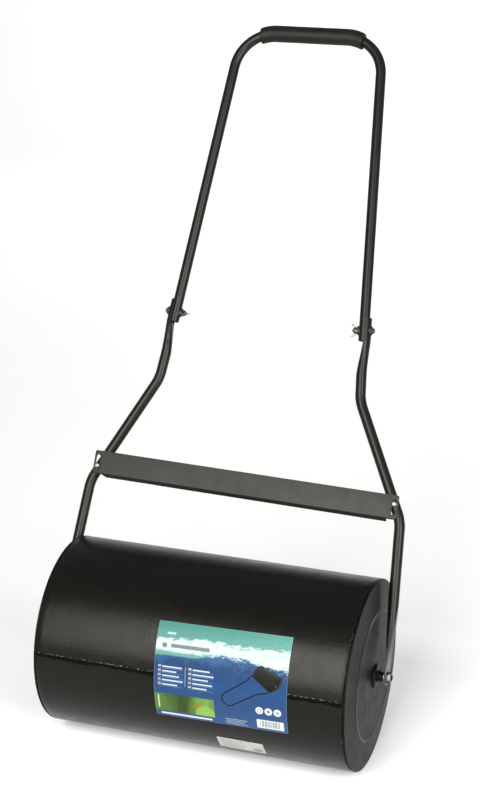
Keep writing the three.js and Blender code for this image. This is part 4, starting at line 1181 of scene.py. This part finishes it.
def label_mat():
    m, _, _, b = new_mat("label_print")
    g = Art(m)
    asp = 226.5 / 164.2
    # blue field with soft cloudy water tones, darkest just under the surf
    n1 = g.noise(g.mapping(g.uv, (5.5, 4, 1)), 1.3, 6, 0.6, 0.6)
    n2 = g.noise(g.mapping(g.uv, (14, 9, 1)), 1.6, 6, 0.65, 0.8)
    tone = g.math("ADD", g.math("ADD", g.v, g.range(n1, 0.3, 0.7, -0.07, 0.07)), g.range(n2, 0.3, 0.7, -0.03, 0.03))
    blue = g.ramp(tone, [(0.0, (0.022, 0.052, 0.125)), (0.25, (0.014, 0.040, 0.105)), (0.45, (0.011, 0.040, 0.115)), (0.62, (0.008, 0.028, 0.085)), (0.72, (0.016, 0.060, 0.140))])
    # teal above, down to a broad pale band of surf
    wave = g.noise(g.mapping(g.uv, (3.0, 0.3, 1)), 1.7, 3, 0.5)
    mid = g.math("ADD", g.ramp(g.u, [(0.0, 0.662), (0.30, 0.668), (0.42, 0.700), (0.55, 0.745), (1.0, 0.70)]), g.range(wave, 0.3, 0.7, -0.010, 0.010))
    above = g.math("MULTIPLY", g.math("SUBTRACT", g.v, mid), 60.0, clamp=True)
    teal = g.ramp(g.u, [(0.0, (0.034, 0.142, 0.120)), (0.55, (0.042, 0.165, 0.138)), (1.0, (0.062, 0.195, 0.165))])
    teal = g.mix(g.range(g.v, 0.80, 1.0, 0.35, 0.0), teal, (0.15, 0.27, 0.24))
    col = g.mix(above, blue, teal)
    foamy = g.noise(g.mapping(g.uv, (7, 15, 1)), 2.0, 7, 0.68, 1.0)
    fine = g.noise(g.mapping(g.uv, (28, 40, 1)), 1.6, 5, 0.7, 0.5)
    rag = g.math("ADD", g.range(foamy, 0.3, 0.7, -0.036, 0.036), g.range(fine, 0.3, 0.7, -0.016, 0.016))
    top = g.math("ADD", g.ramp(g.u, [(0.0, 0.835), (0.35, 0.862), (0.62, 0.850), (1.0, 0.868)]), g.math("MULTIPLY", rag, 0.8))
    low = g.math("ADD", g.ramp(g.u, [(0.0, 0.705), (0.32, 0.690), (0.50, 0.715), (0.72, 0.690), (1.0, 0.640)]), g.math("MULTIPLY", rag, g.range(g.u, 0.1, 0.45, 0.35, 1.2)))
    surf = g.math("MULTIPLY", g.math("MULTIPLY", g.math("SUBTRACT", top, g.v), 38.0, clamp=True), g.math("MULTIPLY", g.math("SUBTRACT", g.v, low), 38.0, clamp=True))
    shade = g.mix(g.range(foamy, 0.35, 0.62, 0.0, 1.0), (0.24, 0.34, 0.35), (0.42, 0.46, 0.44))
    col = g.mix(g.math("MULTIPLY", surf, g.range(foamy, 0.26, 0.46, 0.72, 1.0)), col, shade)
    spray = g.ramp(g.voronoi(g.mapping(g.uv, (30, 24, 1)), 2.0), [(0.12, 1.0), (0.24, 0.0)])
    spray = g.math("MULTIPLY", spray, g.math("MULTIPLY", g.inside(g.v, 0.58, 0.93, 0.05), g.range(g.u, 0.40, 0.75, 0.0, 0.8)))
    col = g.mix(g.math("MULTIPLY", spray, 0.55, clamp=True), col, (0.34, 0.46, 0.48))
    # a plain mark and plain bars where a heading would be
    head = g.any(g.rect(0.115, 0.748, 0.405, 0.786, 0.003), g.disc(0.066, 0.765, 0.026, asp))
    col = g.mix(g.math("MULTIPLY", head, 0.82), col, (0.045, 0.060, 0.055))
    col = g.mix(g.math("MULTIPLY", g.rect(0.075, 0.876, 0.14, 0.896, 0.003), 0.7), col, (0.34, 0.52, 0.48))
    # columns of plain bars, each with a small square
    bars, squares = None, None
    for cx, w in ((0.030, 0.150), (0.262, 0.150)):
        for k in range(5):
            v0 = 0.552 - 0.0455 * k
            short = (1.0, 0.72, 0.86, 1.06, 0.78)[(k + (0 if cx < 0.1 else 2)) % 5]
            r_ = g.rect(cx + 0.032, v0 - 0.004, cx + 0.032 + w * short, v0 + 0.010, 0.0015)
            sq = g.rect(cx, v0 - 0.002, cx + 0.022, v0 + 0.017, 0.0015)
            bars = r_ if bars is None else g.any(bars, r_)
            squares = sq if squares is None else g.any(squares, sq)
            bars = g.any(bars, g.math("MULTIPLY", g.rect(cx, v0 - 0.016, cx + 0.19, v0 - 0.013, 0.001), 0.35))
    col = g.mix(g.math("MULTIPLY", bars, 0.85), col, (0.36, 0.42, 0.46))
    col = g.mix(g.math("MULTIPLY", squares, 0.9), col, g.mix(g.range(g.noise(g.mapping(g.uv, (60, 60, 1)), 1.0, 1), 0.4, 0.6, 0, 1), (0.27, 0.17, 0.15), (0.38, 0.38, 0.36)))
    col = g.mix(g.math("MULTIPLY", g.rect(0.236, 0.375, 0.2395, 0.575, 0.001), 0.6), col, (0.30, 0.36, 0.42))
    # picture strip: a soft green leaf against a dark shape, with a small red spot
    strip = g.rect(0.0, 0.068, 0.455, 0.272)
    blur = g.noise(g.mapping(g.uv, (6, 3, 1)), 1.4, 4)
    blade = g.noise(g.mapping(g.uv, (60, 6, 1)), 1.6, 6, 0.7, 0.3)
    across = g.math("ADD", g.u, g.range(blur, 0.3, 0.7, -0.035, 0.035))
    grass = g.ramp(across, [(0.0, (0.050, 0.110, 0.022)), (0.10, (0.042, 0.085, 0.018)), (0.17, (0.018, 0.030, 0.008)), (0.24, (0.020, 0.034, 0.009)), (0.31, (0.075, 0.150, 0.024)), (0.42, (0.115, 0.200, 0.045)), (0.46, (0.070, 0.140, 0.030))])
    grass = g.mix(g.range(blade, 0.35, 0.65, 0.0, 0.14), grass, (0.07, 0.11, 0.03))
    leaf = g.disc(0.385, 0.085, 0.105, asp, 0.012)
    grass = g.mix(g.math("MULTIPLY", leaf, 0.85), grass, (0.150, 0.260, 0.055))
    grass = g.mix(g.math("MULTIPLY", g.disc(0.333, 0.178, 0.022, asp, 0.008), 0.9), grass, (0.30, 0.080, 0.020))
    grass = g.mix(g.math("MULTIPLY", g.disc(0.328, 0.184, 0.007, asp, 0.003), 0.9), grass, (0.02, 0.01, 0.01))
    col = g.mix(strip, col, grass)
    col = g.mix(g.math("MULTIPLY", g.rect(0.026, 0.100, 0.036, 0.250), 0.8), col, (0.38, 0.42, 0.34))
    # foot line and a small block of faint bars
    col = g.mix(g.math("MULTIPLY", g.rect(0.04, 0.022, 0.43, 0.042, 0.003), 0.9), col, (0.44, 0.48, 0.52))
    small = g.any(*[g.rect(0.53 + 0.012 * (k % 2), 0.078 - 0.019 * k, 0.70 - 0.014 * (k % 3), 0.085 - 0.019 * k, 0.0012) for k in range(4)])
    col = g.mix(g.math("MULTIPLY", small, 0.6), col, (0.30, 0.36, 0.42))
    # simple roller pictogram: drum, end disc and a loop handle
    body = g.poly([(0.7753, 0.6766), (0.8037, 0.6913), (0.9582, 0.5897), (0.9621, 0.5457), (0.9355, 0.4816), (0.8941, 0.4396), (0.8661, 0.4382), (0.7411, 0.5694), (0.7421, 0.6028)], asp)
    glint = g.line((0.8146, 0.6662), (0.9289, 0.5882), 0.006, asp, 0.006)
    rim_pts = [(0.9517, 0.5749), (0.9536, 0.5402), (0.9295, 0.4844), (0.891, 0.447)]
    rim = g.any(*[g.line(rim_pts[k], rim_pts[k + 1], 0.0035, asp, 0.003) for k in range(len(rim_pts) - 1)])
    hub = g.disc(0.9154, 0.5075, 0.010, asp)
    path = [(0.7444, 0.5896), (0.6817, 0.5051), (0.5361, 0.3686), (0.5148, 0.3325), (0.5214, 0.2796), (0.5549, 0.2402), (0.5851, 0.2424), (0.7809, 0.4031), (0.8619, 0.4272)]
    hd = g.any(*[g.line(path[k], path[k + 1], 0.0062, asp) for k in range(len(path) - 1)])
    col = g.mix(g.any(body, hd), col, (0.0040, 0.0040, 0.0036))
    col = g.mix(g.math("MULTIPLY", glint, 0.5), col, (0.040, 0.038, 0.032))
    col = g.mix(g.math("MULTIPLY", g.any(rim, hub), 0.6), col, (0.060, 0.048, 0.040))
    # three round symbols, each with a plain inner shape
    cs = [(0.796, 0.2326), (0.8636, 0.2318), (0.930, 0.232)]
    dots = g.any(*[g.disc(u_, v_, 0.039, asp) for u_, v_ in cs])
    inner = g.any(g.math("SUBTRACT", g.disc(*cs[0], 0.024, asp), g.disc(*cs[0], 0.017, asp), clamp=True), g.rect(cs[1][0] - 0.012, cs[1][1] - 0.016, cs[1][0] + 0.012, cs[1][1] + 0.016),
                  g.line((cs[2][0] - 0.014, cs[2][1]), (cs[2][0] + 0.014, cs[2][1]), 0.010, asp))
    col = g.mix(dots, col, (0.38, 0.40, 0.40))
    col = g.mix(g.math("MULTIPLY", inner, 0.75), col, (0.05, 0.07, 0.09))
    # pale block of plain stripes at the lower right
    block = g.rect(0.772, 0.026, 0.972, 0.130)
    uneven = g.noise(g.mapping(g.uv, (120, 0.01, 1)), 1.0, 2, 0.8)
    stripes = g.math("MULTIPLY", g.ramp(uneven, [(0.48, 0.0), (0.52, 1.0)]), g.rect(0.795, 0.042, 0.950, 0.120))
    col = g.mix(block, col, (0.40, 0.42, 0.41))
    col = g.mix(g.math("MULTIPLY", stripes, 0.8), col, (0.05, 0.05, 0.05))
    # thin pale cut edge, and handling marks
    frame_ = g.math("SUBTRACT", 1.0, g.rect(0.0035, 0.005, 0.9965, 0.995, 0.002))
    col = g.mix(g.math("MULTIPLY", frame_, 0.18), col, (0.30, 0.36, 0.38))
    wear = g.ramp(g.noise(g.coord(), 55.0, 7, 0.7), [(0.60, 0.0), (0.74, 1.0)])
    col = g.mix(g.math("MULTIPLY", wear, 0.08), col, (0.40, 0.42, 0.42))
    g.put(b.inputs["Base Color"], col)
    g.put(b.inputs["Roughness"], g.range(g.noise(g.coord(), 45.0, 5), 0.3, 0.7, 0.36, 0.50))
    b.inputs["IOR"].default_value = 1.3
    b.inputs["Specular IOR Level"].default_value = 0.22
    nb = g.bump(g.noise(g.coord(), 30.0, 4, 0.5), 0.16, 0.0010)
    g.put(b.inputs["Normal"], g.bump(g.noise(g.coord(), 1100.0, 2), 0.06, 0.0001, nb))
    return m


def sticker_mat():
    m, _, _, b = new_mat("sticker_paper")
    g = Art(m)
    base = g.mix(g.range(g.noise(g.coord(), 60.0, 5), 0.3, 0.7, 0, 1), (0.26, 0.27, 0.255), (0.34, 0.35, 0.335))
    bars = None
    for k in range(5):
        w = (0.80, 0.62, 0.86, 0.50, 0.74)[k]
        r_ = g.rect(0.07, 0.80 - 0.16 * k, 0.07 + w * 0.62, 0.85 - 0.16 * k, 0.004)
        bars = r_ if bars is None else g.any(bars, r_)
    bars = g.any(bars, g.rect(0.76, 0.14, 0.93, 0.42, 0.004))
    col = g.mix(g.math("MULTIPLY", bars, 0.75), base, (0.07, 0.07, 0.07))
    dirt = g.ramp(g.noise(g.coord(), 150.0, 6, 0.7), [(0.55, 0.0), (0.75, 1.0)])
    col = g.mix(g.math("MULTIPLY", dirt, 0.25), col, (0.18, 0.17, 0.15))
    g.put(b.inputs["Base Color"], col)
    g.put(b.inputs["Roughness"], g.range(dirt, 0, 1, 0.5, 0.65))
    b.inputs["Specular IOR Level"].default_value = 0.35
    g.put(b.inputs["Normal"], g.bump(g.noise(g.coord(), 700.0, 3), 0.15, 0.0002))
    return m


label = curved_sheet(-53.5, 173.0, -17.4, 41.4, 160.34, 0.12, 46, 60, 1.0, math.radians(1.5))
link("label_sheet", label.at(DRUM), label_mat(), "drum", "drum_label", angle=40, slot="label_print")
stick = curved_sheet(46.5, 126.3, -44.9, -31.0, 160.34, 0.10, 30, 20, 1.5)
link("sticker_sheet", stick.at(DRUM), sticker_mat(), "drum", "data_sticker", angle=40, slot="sticker_paper")

# ------------------------------------------------------------------ stage
def stage_mesh(name, verts, faces, mat):
    me = bpy.data.meshes.new(name); me.from_pydata(verts, [], faces); me.update()
    ob = bpy.data.objects.new(name, me)
    bpy.context.scene.collection.objects.link(ob)
    me.materials.append(mat); me.shade_smooth()
    return ob

fm, _, _, fb = new_mat("stage_floor")
fg = G(fm)
fg.put(fb.inputs["Base Color"], fg.mix(fg.range(fg.noise(fg.coord(), 2.0, 4), 0.3, 0.7, 0, 1), (0.955, 0.955, 0.95), (0.972, 0.972, 0.968)))
fb.inputs["Roughness"].default_value = 0.9
fb.inputs["Specular IOR Level"].default_value = 0.1
prof = [(-0.95, 0.0), (4.5, 0.0)] + [(4.5 + 3.0 * math.sin(a), 3.0 - 3.0 * math.cos(a)) for a in np.linspace(0.1, 1.05, 12)]
sv, sf = [], []
for i, (y, z) in enumerate(prof):
    for x in (-12.0, 12.0):
        sv.append((x, y, z))
for i in range(len(prof) - 1):
    sf.append((2 * i, 2 * i + 1, 2 * i + 3, 2 * i + 2))
stage_mesh("stage_sweep", sv, sf, fm)

world = bpy.data.worlds.new("studio")
bpy.context.scene.world = world
world.use_nodes = True
bg = world.node_tree.nodes["Background"]
bg.inputs["Color"].default_value = (1.0, 1.0, 1.0, 1)
bg.inputs["Strength"].default_value = 0.34

def area(name, loc, target, sx, sy, power, colour=(1, 1, 1)):
    d = bpy.data.lights.new(name, "AREA"); d.shape = "RECTANGLE"; d.size, d.size_y, d.energy, d.color = sx, sy, power, colour
    o = bpy.data.objects.new(name, d)
    bpy.context.scene.collection.objects.link(o)
    o.location = loc
    o.rotation_euler = (Vector(target) - Vector(loc)).to_track_quat("-Z", "Y").to_euler()
    return o

area("key_softbox", (-0.55, -3.9, 2.2), (-0.05, -0.1, 0.55), 2.6, 3.5, 318.0, (1.0, 0.99, 0.97))
area("side_softbox", (3.1, -2.3, 1.7), (0.0, 0.0, 0.6), 1.5, 2.6, 185.0)
area("back_wash", (0.0, 3.2, 3.8), (0.0, 6.5, 1.0), 6.0, 1.0, 170.0)

# ------------------------------------------------------------------ camera
cam_d = bpy.data.cameras.new("view")
cam_d.sensor_width = 36.0
cam_d.lens = 1803.15 / 806.0 * 36.0
cam_d.clip_end = 100.0
cam = bpy.data.objects.new("view", cam_d)
bpy.context.scene.collection.objects.link(cam)
Rm = Matrix(((0.94364, -0.11013, 0.31216), (0.33098, 0.31127, -0.89077), (0.00090, 0.94391, 0.33018)))
cam.matrix_world = Matrix.Translation((0.9434, -2.5816, 1.5653)) @ Rm.to_4x4()
bpy.context.scene.camera = cam
bpy.context.scene.view_settings.view_transform = "Standard"
